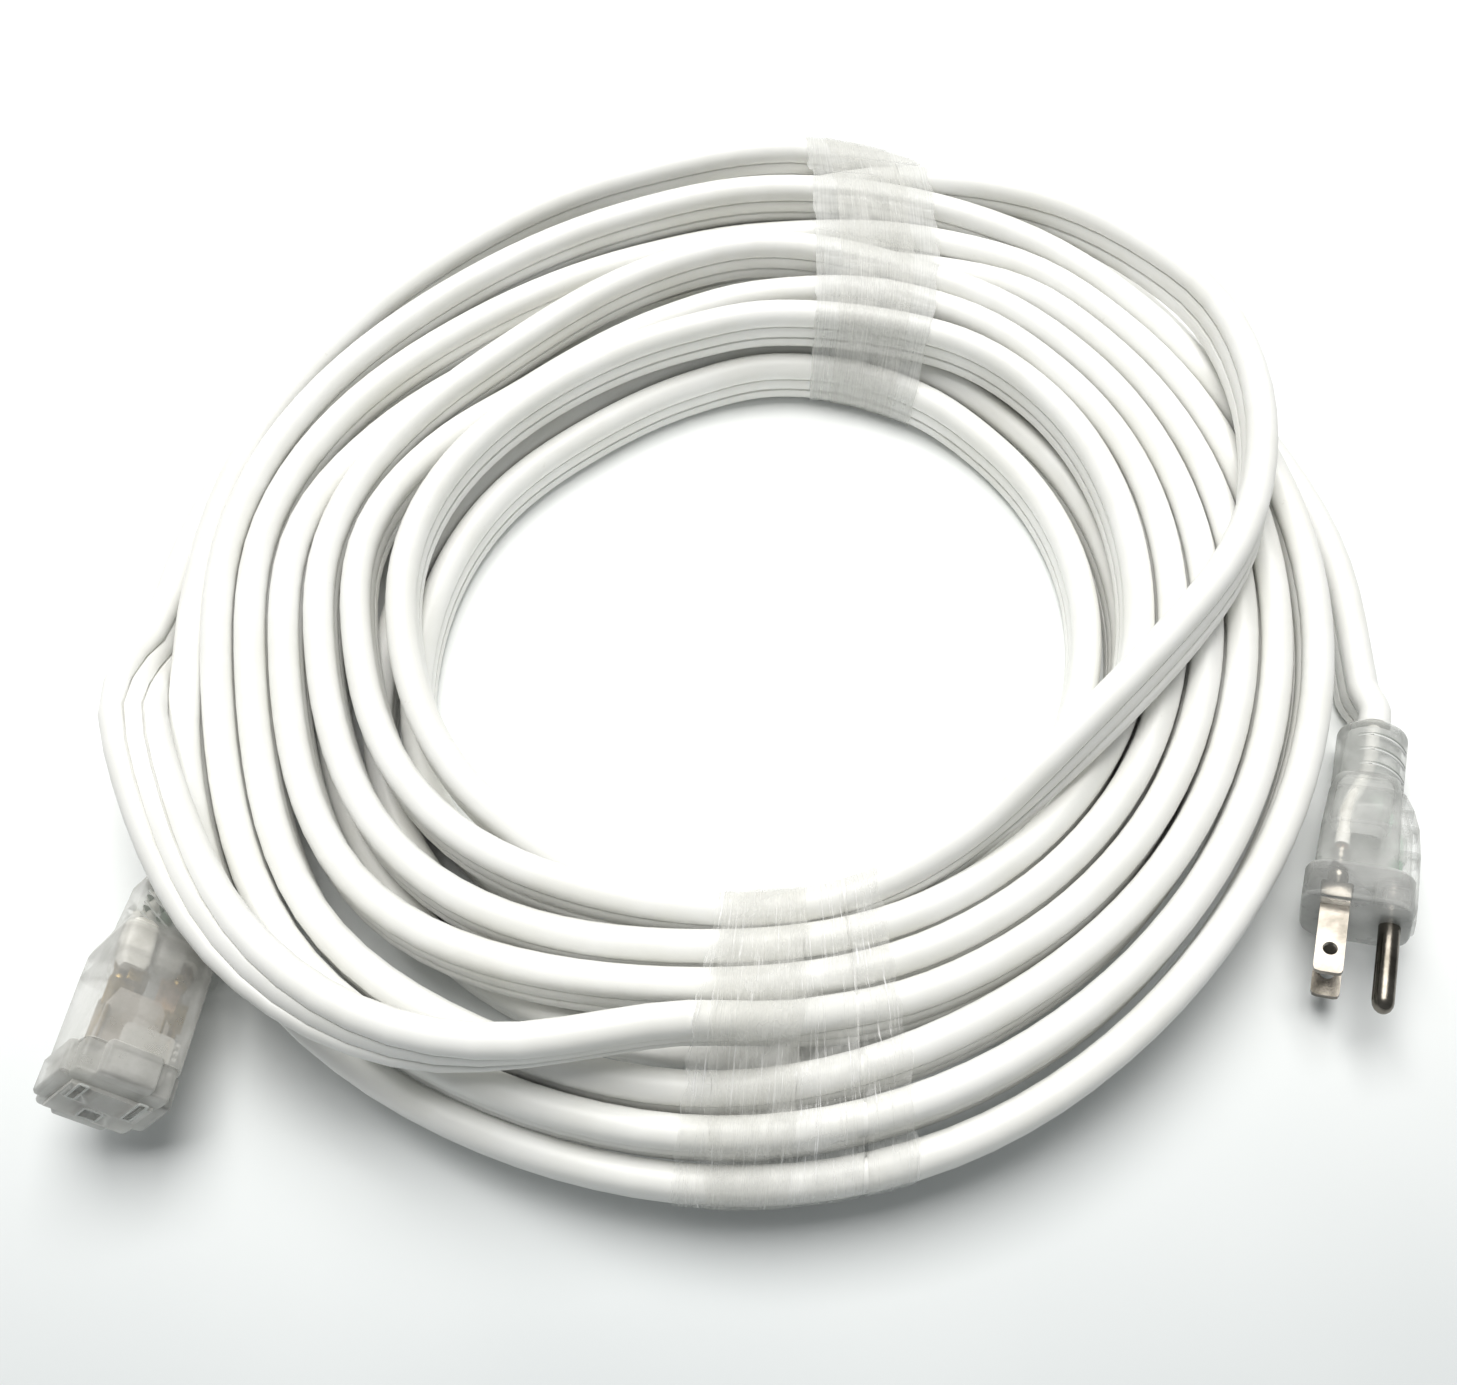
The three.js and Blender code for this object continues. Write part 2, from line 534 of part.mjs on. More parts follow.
function plugPieces() {
  const out = [];
  const c = PLUG_AXIS_Z;
  const R = PLUG_COLLAR_RADIUS;
  const rear = -PLUG_LENGTH;
  const round = (y, r) => roundedLoop(y, -r, r, c - r, c + r, r, 6);
  const loops = [round(rear, R - 0.8), round(rear + 1, R)];
  for (let k = 0; k < 3; k += 1) {
    const y = rear + 4 + 3.4 * k;
    loops.push(round(y, R), round(y + 0.2, R - 0.8), round(y + 1, R - 0.8), round(y + 1.2, R));
  }
  loops.push(round(rear + PLUG_COLLAR_LENGTH, R), round(rear + PLUG_COLLAR_LENGTH + 0.6, R - 0.9));
  const h = PLUG_HALF;
  loops.push(roundedLoop(rear + 22, 2.6 - h, h - 2.6, -4.4, 12, 6, 6));
  loops.push(roundedLoop(-22, 2.2 - h, h - 2.2, -5.2, 12, 4.5, 6));
  loops.push(roundedLoop(-PLUG_FLANGE - 1.2, 1.8 - h, h - 1.8, -5.6, 13, 3.6, 6));
  loops.push(roundedLoop(-PLUG_FLANGE, 0.3 - h, h - 0.3, -7, 16.2, 4, 6));
  loops.push(roundedLoop(-1, -h, h, -7.3, 16.5, 4, 6));
  loops.push(roundedLoop(0, 0.9 - h, h - 0.9, -6.4, 15.6, 3.4, 6));
  const ridge = loft([
    roundedLoop(-35, -4.2, 4.2, 8, 11, 1.5), roundedLoop(-28, -4.5, 4.5, 8, 14.6, 2),
    roundedLoop(-21, -4.5, 4.5, 8, 16.6, 2), roundedLoop(-2, -4.5, 4.5, 8, 17.2, 2),
  ]);
  let body = solid(loft(loops)).add(solid(ridge));
  const blade = (x, name, spread) => {
    const way = coreWay(PLUG_LENGTH, c, spread, x, 0, BLADE_CRIMP_REACH);
    conductor(out, `plug_${name}`, way, 3.2, WHITE_CORE);
    const barrelFront = -BLADE_CRIMP_REACH + CRIMP_LENGTH;
    const tang = barrelFront - BLADE_SEAT;
    const t = BLADE_THICKNESS / 2;
    const w = BLADE_WIDTH / 2;
    const flat = loft([
      roundedLoop(tang, x - t, x + t, -w, w, 0.3, 2),
      roundedLoop(BLADE_LENGTH - 1.4, x - t, x + t, -w, w, 0.3, 2),
      roundedLoop(BLADE_LENGTH, x - 0.5 * t, x + 0.5 * t, -w + 0.8, w - 0.8, 0.2, 2),
    ]);
    const barrel = rod([V(x, -BLADE_CRIMP_REACH, 0), V(x, barrelFront, 0)], BARREL_RADIUS, 12);
    const hole = rod([V(x - 3, 11, 0), V(x + 3, 11.001, 0)], 1.6, 12);
    out.push([`${name}_blade`, shell(joined([flat, barrel]).subtract(solid(hole))), NICKEL, 0.25, 1]);
    const g = PART_GAP;
    body = body.subtract(solid(rod([V(way[0].x, rear - 1, way[0].z), ...way], CORE_RADIUS + g, 10)));
    const bore = [V(x, -BLADE_CRIMP_REACH - g, 0), V(x, barrelFront + g, 0)];
    body = body.subtract(solid(rod(bore, BARREL_RADIUS + g, 12)));
    body = body.subtract(solid(box(x - t - g, x + t + g, tang - g, 1, -w - g, w + g)));
  };
  blade(BLADE_OFFSET, 'line', CORE_PITCH);
  blade(-BLADE_OFFSET, 'neutral', -CORE_PITCH);
  const way = coreWay(PLUG_LENGTH, c, 0, 0, GROUND_OFFSET, PIN_CRIMP_REACH);
  conductor(out, 'plug_ground', way, 3.2, GREEN_CORE);
  const z = GROUND_OFFSET;
  const crimpFront = -PIN_CRIMP_REACH + CRIMP_LENGTH;
  const along = [
    -PIN_CRIMP_REACH, crimpFront, crimpFront + 0.4,
    PIN_LENGTH - 2.4, PIN_LENGTH - 0.8, PIN_LENGTH,
  ];
  const pin = rod(
    along.map((y) => V(0, y, z)),
    [BARREL_RADIUS, BARREL_RADIUS, PIN_RADIUS, PIN_RADIUS, 0.75 * PIN_RADIUS, 0.35 * PIN_RADIUS], 16,
  );
  out.push(['ground_pin', pin, NICKEL, 0.25, 1]);
  body = body.subtract(solid(rod([V(way[0].x, rear - 1, way[0].z), ...way], CORE_RADIUS + PART_GAP, 10)));
  const pinBore = [V(0, -PIN_CRIMP_REACH - PART_GAP, z), V(0, 1, z)];
  body = body.subtract(solid(rod(pinBore, PIN_RADIUS + PART_GAP, 16)));
  out.push(['plug_overmould', shell(body), CLEAR, 0.3, 0]);
  return out;
}

function connectorPieces() {
  const out = [];
  const c = CONNECTOR_AXIS_Z;
  const rear = -CONNECTOR_LENGTH;
  const b = CONNECTOR_HALF;
  const f = FACE_REACH;
  const neck = (y, s) => roundedLoop(
    y, -NECK_WIDTH / 2 * s, NECK_WIDTH / 2 * s, c - NECK_DEPTH / 2 * s, c + NECK_DEPTH / 2 * s, 4,
  );
  const body0 = loft([
    neck(rear, 1),
    neck(rear + NECK_LENGTH - 4, 1.12),
    roundedLoop(rear + NECK_LENGTH, -b + 1, b - 1, c - b + 2, c + b - 2, 4),
    roundedLoop(rear + NECK_LENGTH + 6, -b, b, c - b, c + b, 3.5),
    roundedLoop(-FACE_FLANGE + 0.5, -b, b, c - b, c + b, 3.5),
  ]);
  const arm = (x, z) => loft([
    roundedLoop(-FACE_FLANGE, -x, x, c - z, c + z, 1.6), roundedLoop(-0.8, -x, x, c - z, c + z, 1.6),
    roundedLoop(0, -x + 0.7, x - 0.7, c - z + 0.7, c + z - 0.7, 1.2),
  ]);
  let body = joined([body0, arm(f, 0.58 * f), arm(0.58 * f, f), arm(0.83 * f, 0.83 * f)]);
  for (let row = 0; row < 2; row += 1) {
    const y = rear + 4 + 6.2 * row;
    [-1, 1].forEach((s) => {
      const x = s * NECK_WIDTH * 0.27;
      const depth = NECK_DEPTH / 2 - 2.6;
      [[c + depth, c + 9], [c - 9, c - depth]].forEach(([z0, z1]) => {
        const tri = (z) => [V(x - 1.6, y, z), V(x + 1.6, y, z), V(x + 1.6 * s, y + 3.6, z)];
        body = body.subtract(solid(loft([tri(z0), tri(z1)])));
      });
    });
  }
  const g = PART_GAP;
  const insertHalf = [0.72 * f, 0.56 * f];
  const insertDepth = 9;
  const insertLoop = (y, grow) => roundedLoop(
    y, -insertHalf[0] - grow, insertHalf[0] + grow,
    c + 1 - insertHalf[1] - grow, c + 1 + insertHalf[1] + grow, 1.5,
  );
  let insert = solid(loft([insertLoop(-insertDepth, 0), insertLoop(0.6, 0), insertLoop(1.2, -0.6)]));
  body = body.subtract(solid(loft([insertLoop(-insertDepth - g, g), insertLoop(2, g)])));
  const contact = (x, z, name, spread, colour, slotX, slotZ) => {
    const reach = CONNECTOR_LENGTH - NECK_LENGTH - CRIMP_SETBACK;
    const front = -reach + CONNECTOR_CRIMP_LENGTH;
    const way = coreWay(CONNECTOR_LENGTH, c, spread, x, z, reach);
    conductor(out, `connector_${name}`, way, 3.6, colour);
    const leafX = Math.min(slotX + 1.2, 2.6);
    const leaf = box(
      x - leafX / 2, x + leafX / 2, front - 1, -insertDepth - 1.2, z - slotZ / 2 + 0.6, z + slotZ / 2 - 0.6,
    );
    const barrel = rod([V(x, -reach, z), V(x, front, z)], 2.1, 10);
    const piece = joined([leaf, barrel]);
    out.push([`${name}_contact`, shell(piece), BRASS, 0.35, 1]);
    body = body.subtract(solid(rod([V(way[0].x, rear - 1, way[0].z), ...way], CORE_RADIUS + g, 10)));
    body = body.subtract(solid(rod([V(x, -reach - g, z), V(x, front + g, z)], 2.1 + g, 10)));
    body = body.subtract(solid(box(
      x - leafX / 2 - g, x + leafX / 2 + g,
      front - 1 - g, -insertDepth + g,
      z - slotZ / 2 + 0.6 - g, z + slotZ / 2 - 0.6 + g,
    )));
    insert = insert.subtract(solid(box(
      x - slotX / 2, x + slotX / 2, -insertDepth - 1, 3, z - slotZ / 2, z + slotZ / 2,
    )));
  };
  contact(-BLADE_OFFSET, 0, 'line', -CORE_PITCH, WHITE_CORE, 1.9, 7.0);
  contact(BLADE_OFFSET, 0, 'neutral', CORE_PITCH, WHITE_CORE, 1.9, 8.6);
  const z = Math.min(GROUND_OFFSET, c + 1 + insertHalf[1] - 3.4);
  contact(0, z, 'ground', 0, GREEN_CORE, 4.2, 4.2);
  out.push(['connector_face_insert', shell(insert), 0xcfccc2, 0.4, 0]);
  out.push(['connector_overmould', shell(body), CLEAR, 0.3, 0]);
  return out;
}

// ================= assembly =================

function mesh(name, geometry, colour, roughness, metalness) {
  const material = new THREE.MeshStandardMaterial({ color: colour, roughness, metalness });
  const flat = geometry.index ? geometry.toNonIndexed() : geometry;
  flat.deleteAttribute('uv');
  flat.computeVertexNormals();
  const node = new THREE.Mesh(flat, material);
  node.name = name;
  return node;
}

// a fitting in its place, let down until it rests on the floor
function placed(pieces, at, turn) {
  const matrix = placing(at, turn);
  const group = pieces.map(
    ([name, geometry, ...look]) => mesh(name, geometry.applyMatrix4(matrix), ...look),
  );
  const low = new THREE.Box3();
  group.forEach((node) => low.expandByObject(node));
  group.forEach((node) => node.geometry.translate(0, 0, -low.min.z));
  matrix.elements[14] -= low.min.z;
  return [group, matrix];
}

// the middle of the back of a fitting, the way out of it and the direction of the cord's width there
function backOf(matrix, length, axisZ, upright) {
  const at = V(0, -length, axisZ).applyMatrix4(matrix);
  const run = V(0, -1, 0).transformDirection(matrix);
  const stand = V(upright, 0, 0).transformDirection(matrix);
  return { at, run, stand };
}

const [plug, plugMatrix] = placed(plugPieces(), PLUG_AT, PLUG_TURN);
const [connector, connectorMatrix] = placed(connectorPieces(), CONNECTOR_AT, CONNECTOR_TURN);

const way = coilWay(STEPS_PER_TURN);
const coilLoops = section(way, COIL_OUTLINE);
const floorBlock = box(-400, 400, -400, 400, -50, 0);
const coil = shell(solid(loft(coilLoops)).subtract(solid(floorBlock)));

const first = way[0];
const last = way[way.length - 1];
const coilStart = { at: first.at, run: first.run.clone().negate(), stand: first.stand };
const coilEnd = { at: last.at, run: last.run, stand: last.stand };
const connectorBack = backOf(connectorMatrix, CONNECTOR_LENGTH, CONNECTOR_AXIS_Z, -1);
const plugBack = backOf(plugMatrix, PLUG_LENGTH, PLUG_AXIS_Z, -1);
const connectorLead = leadWay(coilStart, connectorBack);
const plugLead = leadWay(coilEnd, plugBack);
const lead = (path) => shell(solid(loft(section(path, LEAD_OUTLINE))).subtract(solid(floorBlock)));

const fine = 96;
const [gap, where] = leastGap(coilWay(fine), fine);
const length = [coilWay(fine), connectorLead, plugLead].reduce(
  (sum, path) => sum + path.slice(1).reduce((s, w, k) => s + w.at.distanceTo(path[k].at), 0), 0,
);
console.log(`least gap between strands ${gap.toFixed(2)} mm at ${where}`);
console.log(`cord length ${length.toFixed(0)} mm`);

const object = new THREE.Group();
object.name = 'extension_cord';
object.add(mesh('coil', coil, 0xe6e3d8, 0.5, 0));
object.add(mesh('connector_lead', lead(connectorLead), 0xe6e3d8, 0.5, 0));
object.add(mesh('plug_lead', lead(plugLead), 0xe6e3d8, 0.5, 0));
object.add(mesh('near_tape_band', tapeBand(coilLoops, NEAR_TAPE_ANGLE), 0xdcdcd2, 0.2, 0));
object.add(mesh('far_tape_band', tapeBand(coilLoops, FAR_TAPE_ANGLE), 0xdcdcd2, 0.2, 0));
plug.concat(connector).forEach((node) => object.add(node));

// the middle of the two fittings and the two bands is the origin
const middle = new THREE.Box3();
const cords = ['coil', 'plug_lead', 'connector_lead'];
object.children.filter((n) => !cords.includes(n.name)).forEach((n) => middle.expandByObject(n));
const shift = middle.getCenter(V(0, 0, 0));
object.children.forEach((n) => n.geometry.translate(-shift.x, -shift.y, 0));
console.log(`middle of the ring at ${(-shift.x).toFixed(3)}, ${(-shift.y).toFixed(3)}`);

export default object;
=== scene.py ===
import math

import bmesh
import bpy
from mathutils import Matrix, Vector, noise


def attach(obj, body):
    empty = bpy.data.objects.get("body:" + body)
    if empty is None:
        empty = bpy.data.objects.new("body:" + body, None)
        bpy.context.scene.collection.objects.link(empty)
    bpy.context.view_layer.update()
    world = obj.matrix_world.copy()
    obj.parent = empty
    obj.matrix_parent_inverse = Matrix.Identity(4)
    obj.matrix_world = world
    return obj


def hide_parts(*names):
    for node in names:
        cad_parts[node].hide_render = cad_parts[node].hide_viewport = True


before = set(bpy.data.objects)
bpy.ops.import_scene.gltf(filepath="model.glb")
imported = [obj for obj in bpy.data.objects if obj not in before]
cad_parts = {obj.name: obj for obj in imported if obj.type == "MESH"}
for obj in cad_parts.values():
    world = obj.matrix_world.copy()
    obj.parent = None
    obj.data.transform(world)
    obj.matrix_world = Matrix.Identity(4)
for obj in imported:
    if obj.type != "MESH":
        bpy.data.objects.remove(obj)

bl_info = {
    "name": "Flat extension cord",
    "version": (1, 0, 0),
    "blender": (4, 5, 0),
    "location": "View3D > Sidebar > Cord",
    "description": "A flat extension cord wound in a taped ring, with clear moulded ends",
    "category": "Add Mesh",
}

MM = 0.001
RING = Vector((1.417, 3.345, 0.0))  # middle of the ring, in millimetres

# ------------------------------------------------------------------ the way of the cord, as in the CAD

CORD_WIDTH = 15.0
CORD_THICKNESS = 7.5
PART_GAP = 0.3
TIER_HEIGHT = CORD_WIDTH + 0.6
FLOOR_CUT = 0.1 * CORD_THICKNESS
STRAIGHT_END = CORD_WIDTH
# a tuple for each turn; a row is degrees past the left side, radius, tier and lean
WINDING = (
    ((0, 134, 0), (21, 131.6, 0), (42, 125.5, 0), (87, 124.4, 0), (112, 126.4, 0), (135, 122, 0),
     (180, 120, 0), (230, 119, 0), (275, 122, 0), (317, 124, 0)),
    ((0, 113, 0), (21, 106.3, 0), (42, 98.6, 0), (87, 99.6, 0), (135, 100.6, 0), (180, 104, 0), (230, 107, 0),
     (275, 112, 0), (317, 115.2, 0), (335, 109.5, 0)),
    ((0, 97, 0), (21, 88.5, 0), (42, 81, 0), (87, 80, 0), (135, 84, 0), (180, 90, 0), (230, 96, 0),
     (275, 99.6, 0), (305, 103, 0), (317, 104.6, 0), (330, 101.6, 0), (345, 95, 0)),
    ((0, 88.5, 0), (21, 80, 0), (42, 72.5, 0), (87, 71.8, 0), (135, 75, 0), (180, 80, 0), (230, 86, 0),
     (265, 89.3, 0), (285, 91, 0), (298, 92.5, 0.2), (309, 94.7, 0.6), (320, 96.4, 0.9), (333, 96.4, 1),
     (346, 95.4, 1)),
    ((0, 94, 1), (42, 81, 1), (87, 77.5, 1), (112, 80.5, 1), (135, 87.2, 1), (160, 89.3, 1), (180, 89.8, 1),
     (205, 92.2, 1), (230, 95.6, 1), (255, 99.5, 1), (280, 104, 1), (300, 112.4, 1), (317, 118.2, 1),
     (335, 117, 1), (347, 115.4, 1)),
    ((0, 114.6, 1), (42, 99, 1), (87, 103.2, 1), (112, 101.2, 1), (135, 104.2, 1), (160, 106.1, 1),
     (180, 106.8, 1), (205, 108.9, 1), (230, 112.3, 1), (255, 116.3, 1), (264, 117.7, 1.15), (274, 120, 1.6),
     (282, 124, 1.98), (291, 134, 2.12), (302, 147, 2.08, 22), (312, 154.2, 2, 42), (322, 157.4, 1.94, 66),
     (332, 157.4, 1.92, 88), (341, 158.2, 1.8, 106), (347, 158.9, 1.25, 146), (353, 158.4, 0.5, 172)),
    ((0, 157.8, 0.08, 180), (10, 155.2, 0, 180), (20, 151.5, 0, 180), (42, 143, 0, 180), (60, 137, 0, 180),
     (80, 133.3, 0.04, 180), (92, 133.4, 0.3, 180), (103, 134.6, 0.8, 180), (113, 136, 1.12, 180),
     (122, 137.4, 1.36, 178), (131, 138, 1.57, 174), (140, 138, 1.75, 172), (148, 136.4, 1.92, 170),
     (156, 132.2, 2.03, 172), (164, 127, 2.06, 178), (171, 121.6, 2.06, 184), (178, 116, 2.06, 192),
     (185, 109.8, 2.06, 200), (194, 101.2, 2.06, 206), (204, 93.8, 2.06, 208), (214, 89.2, 2.04, 206),
     (225, 86.7, 1.8, 200), (238, 87, 1.45, 190), (255, 90.8, 1.1, 184), (267, 93, 1, 180),
     (280, 95.3, 1, 180), (300, 100.6, 1, 180), (317, 106.2, 1, 180), (335, 107.2, 1, 180),
     (347, 106.2, 1, 180)),
    ((0, 105.6, 1, 180), (21, 98, 0.75, 180), (42, 90, 0.45, 180), (87, 91.3, 0.55, 180),
     (112, 92.9, 0.88, 180), (135, 95.7, 1, 180), (160, 97.8, 1, 180), (180, 98.3, 1, 180),
     (205, 100.5, 1, 180), (230, 103.9, 1, 180), (255, 107.8, 1, 180), (280, 112.6, 1, 180),
     (300, 122, 1, 180), (317, 129.6, 1, 180), (335, 126.7, 1, 180), (347, 124.1, 1, 180)),
    ((0, 123, 1, 180), (21, 115.2, 0.6, 180), (42, 107.5, 0.2, 180), (87, 108, 0, 180), (112, 110, 0.5, 180),
     (135, 112.7, 1, 180), (160, 114.6, 1, 180), (180, 115.2, 1, 180), (205, 117.3, 1, 180),
     (230, 120.8, 1, 180), (255, 126.5, 1, 180), (280, 134.4, 0.95, 180), (300, 138.4, 1, 180),
     (317, 141, 1, 180), (335, 135.2, 1, 180), (347, 132.3, 1, 180)),
    ((0, 131.6, 1, 180), (21, 125, 0.87, 180), (42, 116.4, 0.7, 180), (87, 116.2, 0.35, 180),
     (112, 118.2, 0.7, 180), (135, 121, 1, 180), (160, 123, 1, 180), (180, 123.6, 1, 180),
     (205, 125.7, 1, 180), (230, 129.8, 1, 180), (255, 136.6, 0.97, 180), (280, 143, 0.9, 180),
     (300, 146.8, 0.95, 180), (317, 149.2, 0.97, 180), (335, 143.4, 1, 180), (347, 140.4, 1, 180)),
    ((0, 139.8, 1, 180), (21, 133.7, 1, 180), (42, 125.6, 1, 180), (87, 124.6, 1, 180), (112, 126.8, 1, 180),
     (135, 129.4, 1, 180), (160, 131.4, 1, 180), (180, 133.3, 1, 180), (205, 135.2, 1, 180),
     (230, 139, 0.9, 180), (255, 146.4, 0.6, 180), (280, 151.2, 0.4, 180), (300, 154.6, 0.32, 180),
     (315, 157.4, 0.68, 180), (326, 155.4, 1, 180), (334, 152.4, 1.02, 180), (341, 149.9, 1, 180),
     (347, 148.4, 0.82, 180), (353, 148.4, 0.62, 180)),
    ((0, 148.4, 0.5, 180), (10, 146.4, 0.65, 180), (21, 142.6, 0.84, 180), (42, 136.5, 1, 180),
     (70, 137.3, 1, 180), (82, 138.6, 1, 180), (92, 141.6, 0.93, 180), (100, 143.6, 0.75, 180),
     (113, 144.4, 0.45, 180), (127, 143.4, 0.3, 180), (138, 142, 0.25, 180), (150, 141.2, 0.2, 180),
     (159, 142.4, 0.12, 180), (167, 145.5, 0.04, 180), (174, 148, 0, 180), (184, 149.3, 0, 180)),
)
NEAR_TAPE_ANGLE = -87.0
FAR_TAPE_ANGLE = 73.0
TAPE_WALL = 0.4
TAPE_LIFT = FLOOR_CUT + TAPE_WALL + PART_GAP
NEAR_LEAN = 15.0  # degrees that the strands of the near side lean toward the middle of the ring
LIFT_PLATEAU = 17.0
LIFT_FADE = 20.0

PLUG_LENGTH = 52.0
PLUG_AXIS_Z = 4.2
PLUG_AT = Vector((128.2, -90.5, 12.425))
PLUG_TURN = (-18.6, 5.0, 161.5)
CONNECTOR_LENGTH = 54.0
CONNECTOR_AXIS_Z = 3.2
CONNECTOR_AT = Vector((-142.6, -133.8, 26.744))
CONNECTOR_TURN = (-1.0, 18.0, -47.0)
BLADE_OFFSET = 6.35
GROUND_OFFSET = 11.9
CORE_PITCH = 4.2


def smoothstep(x, a, b):
    t = min(max((x - a) / (b - a), 0.0), 1.0)
    return t * t * (3 - 2 * t)


def cell(xs, x):
    i = 0
    while i + 2 < len(xs) and x > xs[i + 1]:
        i += 1
    return i


def flowing(xs, ys):
    """Smooth cubic through the stations, straight at both ends."""
    n = len(xs)
    h = [xs[i + 1] - xs[i] for i in range(n - 1)]
    above = [0.0] * n
    bend = [0.0] * n
    for i in range(1, n - 1):
        rise = (ys[i + 1] - ys[i]) / h[i] - (ys[i] - ys[i - 1]) / h[i - 1]
        pivot = 2 * (h[i - 1] + h[i]) - h[i - 1] * above[i - 1]
        above[i] = h[i] / pivot
        bend[i] = (6 * rise - h[i - 1] * bend[i - 1]) / pivot
    for i in range(n - 2, 0, -1):
        bend[i] -= above[i] * bend[i + 1]

    def value(x):
        i = cell(xs, x)
        a, b = xs[i + 1] - x, x - xs[i]
        pull = bend[i] * (a**3 - a * h[i] ** 2) + bend[i + 1] * (b**3 - b * h[i] ** 2)
        return (ys[i] * a + ys[i + 1] * b) / h[i] + pull / (6 * h[i])

    return value


def monotone(xs, ys):
    """Monotone cubic through the stations, flat at both ends."""
    n = len(xs)
    h = [xs[i + 1] - xs[i] for i in range(n - 1)]
    d = [(ys[i + 1] - ys[i]) / h[i] for i in range(n - 1)]
    m = [0.0] * n
    for i in range(1, n - 1):
        if d[i - 1] * d[i] > 0:
            w1 = 2 * h[i] + h[i - 1]
            w2 = h[i] + 2 * h[i - 1]
            m[i] = (w1 + w2) / (w1 / d[i - 1] + w2 / d[i])

    def value(x):
        i = cell(xs, x)
        s = min(max((x - xs[i]) / h[i], 0.0), 1.0)
        a = (1 + 2 * s) * (1 - s) ** 2 * ys[i] + s * (1 - s) ** 2 * h[i] * m[i]
        return a + s * s * (3 - 2 * s) * ys[i + 1] + s * s * (s - 1) * h[i] * m[i + 1]

    return value


def angle_at(turn):
    return math.pi - 2 * math.pi * turn


def lift(angle):
    def near(centre):
        off = abs((math.degrees(angle) - centre + 180) % 360 - 180)
        return 1 - smoothstep(off, LIFT_PLATEAU, LIFT_PLATEAU + LIFT_FADE)

    return TAPE_LIFT * max(near(NEAR_TAPE_ANGLE), near(FAR_TAPE_ANGLE))


def standing(run, at, lean):
    inward = Vector((-at.x, -at.y, 0)).normalized()
    wanted = Vector((0, 0, math.cos(math.radians(lean)))) + inward * math.sin(math.radians(lean))
    return (wanted - run * wanted.dot(run)).normalized()


def way_functions():
    """The end of the coil in turns, and functions for its centre and for its frame at a turn."""
    rows = [(k + row[0] / 360,) + tuple(row[1:]) + (0,) * (4 - len(row)) for k, rows in enumerate(WINDING) for row in rows]
    turns = [row[0] for row in rows]
    radius = flowing(turns, [row[1] for row in rows])
    tier = monotone(turns, [row[2] for row in rows])
    lean = monotone(turns, [row[3] for row in rows])
    end = turns[-1]

    def point(turn):
        angle = angle_at(turn)
        r = radius(turn)
        z = CORD_WIDTH / 2 - FLOOR_CUT + TIER_HEIGHT * tier(turn) + lift(angle)
        return Vector((r * math.cos(angle), r * math.sin(angle), z))

    def slope(turn):
        off = abs((math.degrees(angle_at(turn)) + 90 + 180) % 360 - 180)
        upright = 1 - smoothstep(abs(math.sin(math.radians(lean(turn)))), 0.02, 0.25)
        low = 1 - smoothstep(tier(turn), 1.1, 1.5)
        inner = smoothstep(turn, 3.95, 4.3) * min(max((10.75 - turn) / 2.7, 0.0), 1.0)
        return NEAR_LEAN * (1 - smoothstep(off, 25, 62)) * upright * low * inner

    def station(turn):
        at = point(turn)
        run = (point(min(turn + 1e-4, end)) - point(max(turn - 1e-4, 0))).normalized()
        return at, run, standing(run, at, lean(turn) + slope(turn))

    return end, station


def coil_way(per_turn):
    """Centre, run and standing direction of the cord in the ring, in millimetres."""
    end, station = way_functions()
    steps = math.ceil(end * per_turn)
    way = [station(end * k / steps) for k in range(steps + 1)]
    at, run, stand = way[0]
    way.insert(0, (at - run * STRAIGHT_END, run, stand))
    at, run, stand = way[-1]
    way.append((at + run * STRAIGHT_END, run, stand))
    return way


def placing(at, turn):
    """Matrix of an end fitting: local y leaves its face, local z points to its ground pin."""
    heading, tilt, roll = (math.radians(v) for v in turn)
    y = Vector((math.sin(heading) * math.cos(tilt), -math.cos(heading) * math.cos(tilt), math.sin(tilt)))
    side = y.cross(Vector((0, 0, 1))).normalized()
    z = side * math.cos(roll) + side.cross(y) * math.sin(roll)
    x = y.cross(z)
    m = Matrix((x, y, z)).transposed().to_4x4()
    m.translation = at
    return m


def lead_way(start, out, stand, to, to_out, to_stand, steps=12):
    """A short free stretch between the ring and the back of a fitting."""
    a0 = start + out * PART_GAP
    a1 = a0 + out * 3
    b0 = to + to_out * PART_GAP
    b1 = b0 + to_out * 3
    handle = (a1 - b1).length / 3
    c = (a1, a1 + out * handle, b1 + to_out * handle, b1)
    way = [(a0, out)]
    for k in range(steps + 1):
        t = k / steps
        s = 1 - t
        at = c[0] * s**3 + c[1] * (3 * s * s * t) + c[2] * (3 * s * t * t) + c[3] * t**3
        run = (c[1] - c[0]) * s * s + (c[2] - c[1]) * (2 * s * t) + (c[3] - c[2]) * t * t
        way.append((at, run.normalized()))
    way.append((b0, -to_out))
    done = []
    for k, (at, run) in enumerate(way):
        s = smoothstep(k / (len(way) - 1), 0.08, 0.92)
        wanted = stand.lerp(to_stand, s).normalized()
        done.append((at, run, (wanted - run * wanted.dot(run)).normalized()))
    return done


def back_of(matrix, length, axis_z, upright):
    at = matrix @ Vector((0, -length, axis_z))
    turn = matrix.to_3x3()
    return at, (turn @ Vector((0, -1, 0))).normalized(), (turn @ Vector((upright, 0, 0))).normalized()


# ------------------------------------------------------------------ helpers


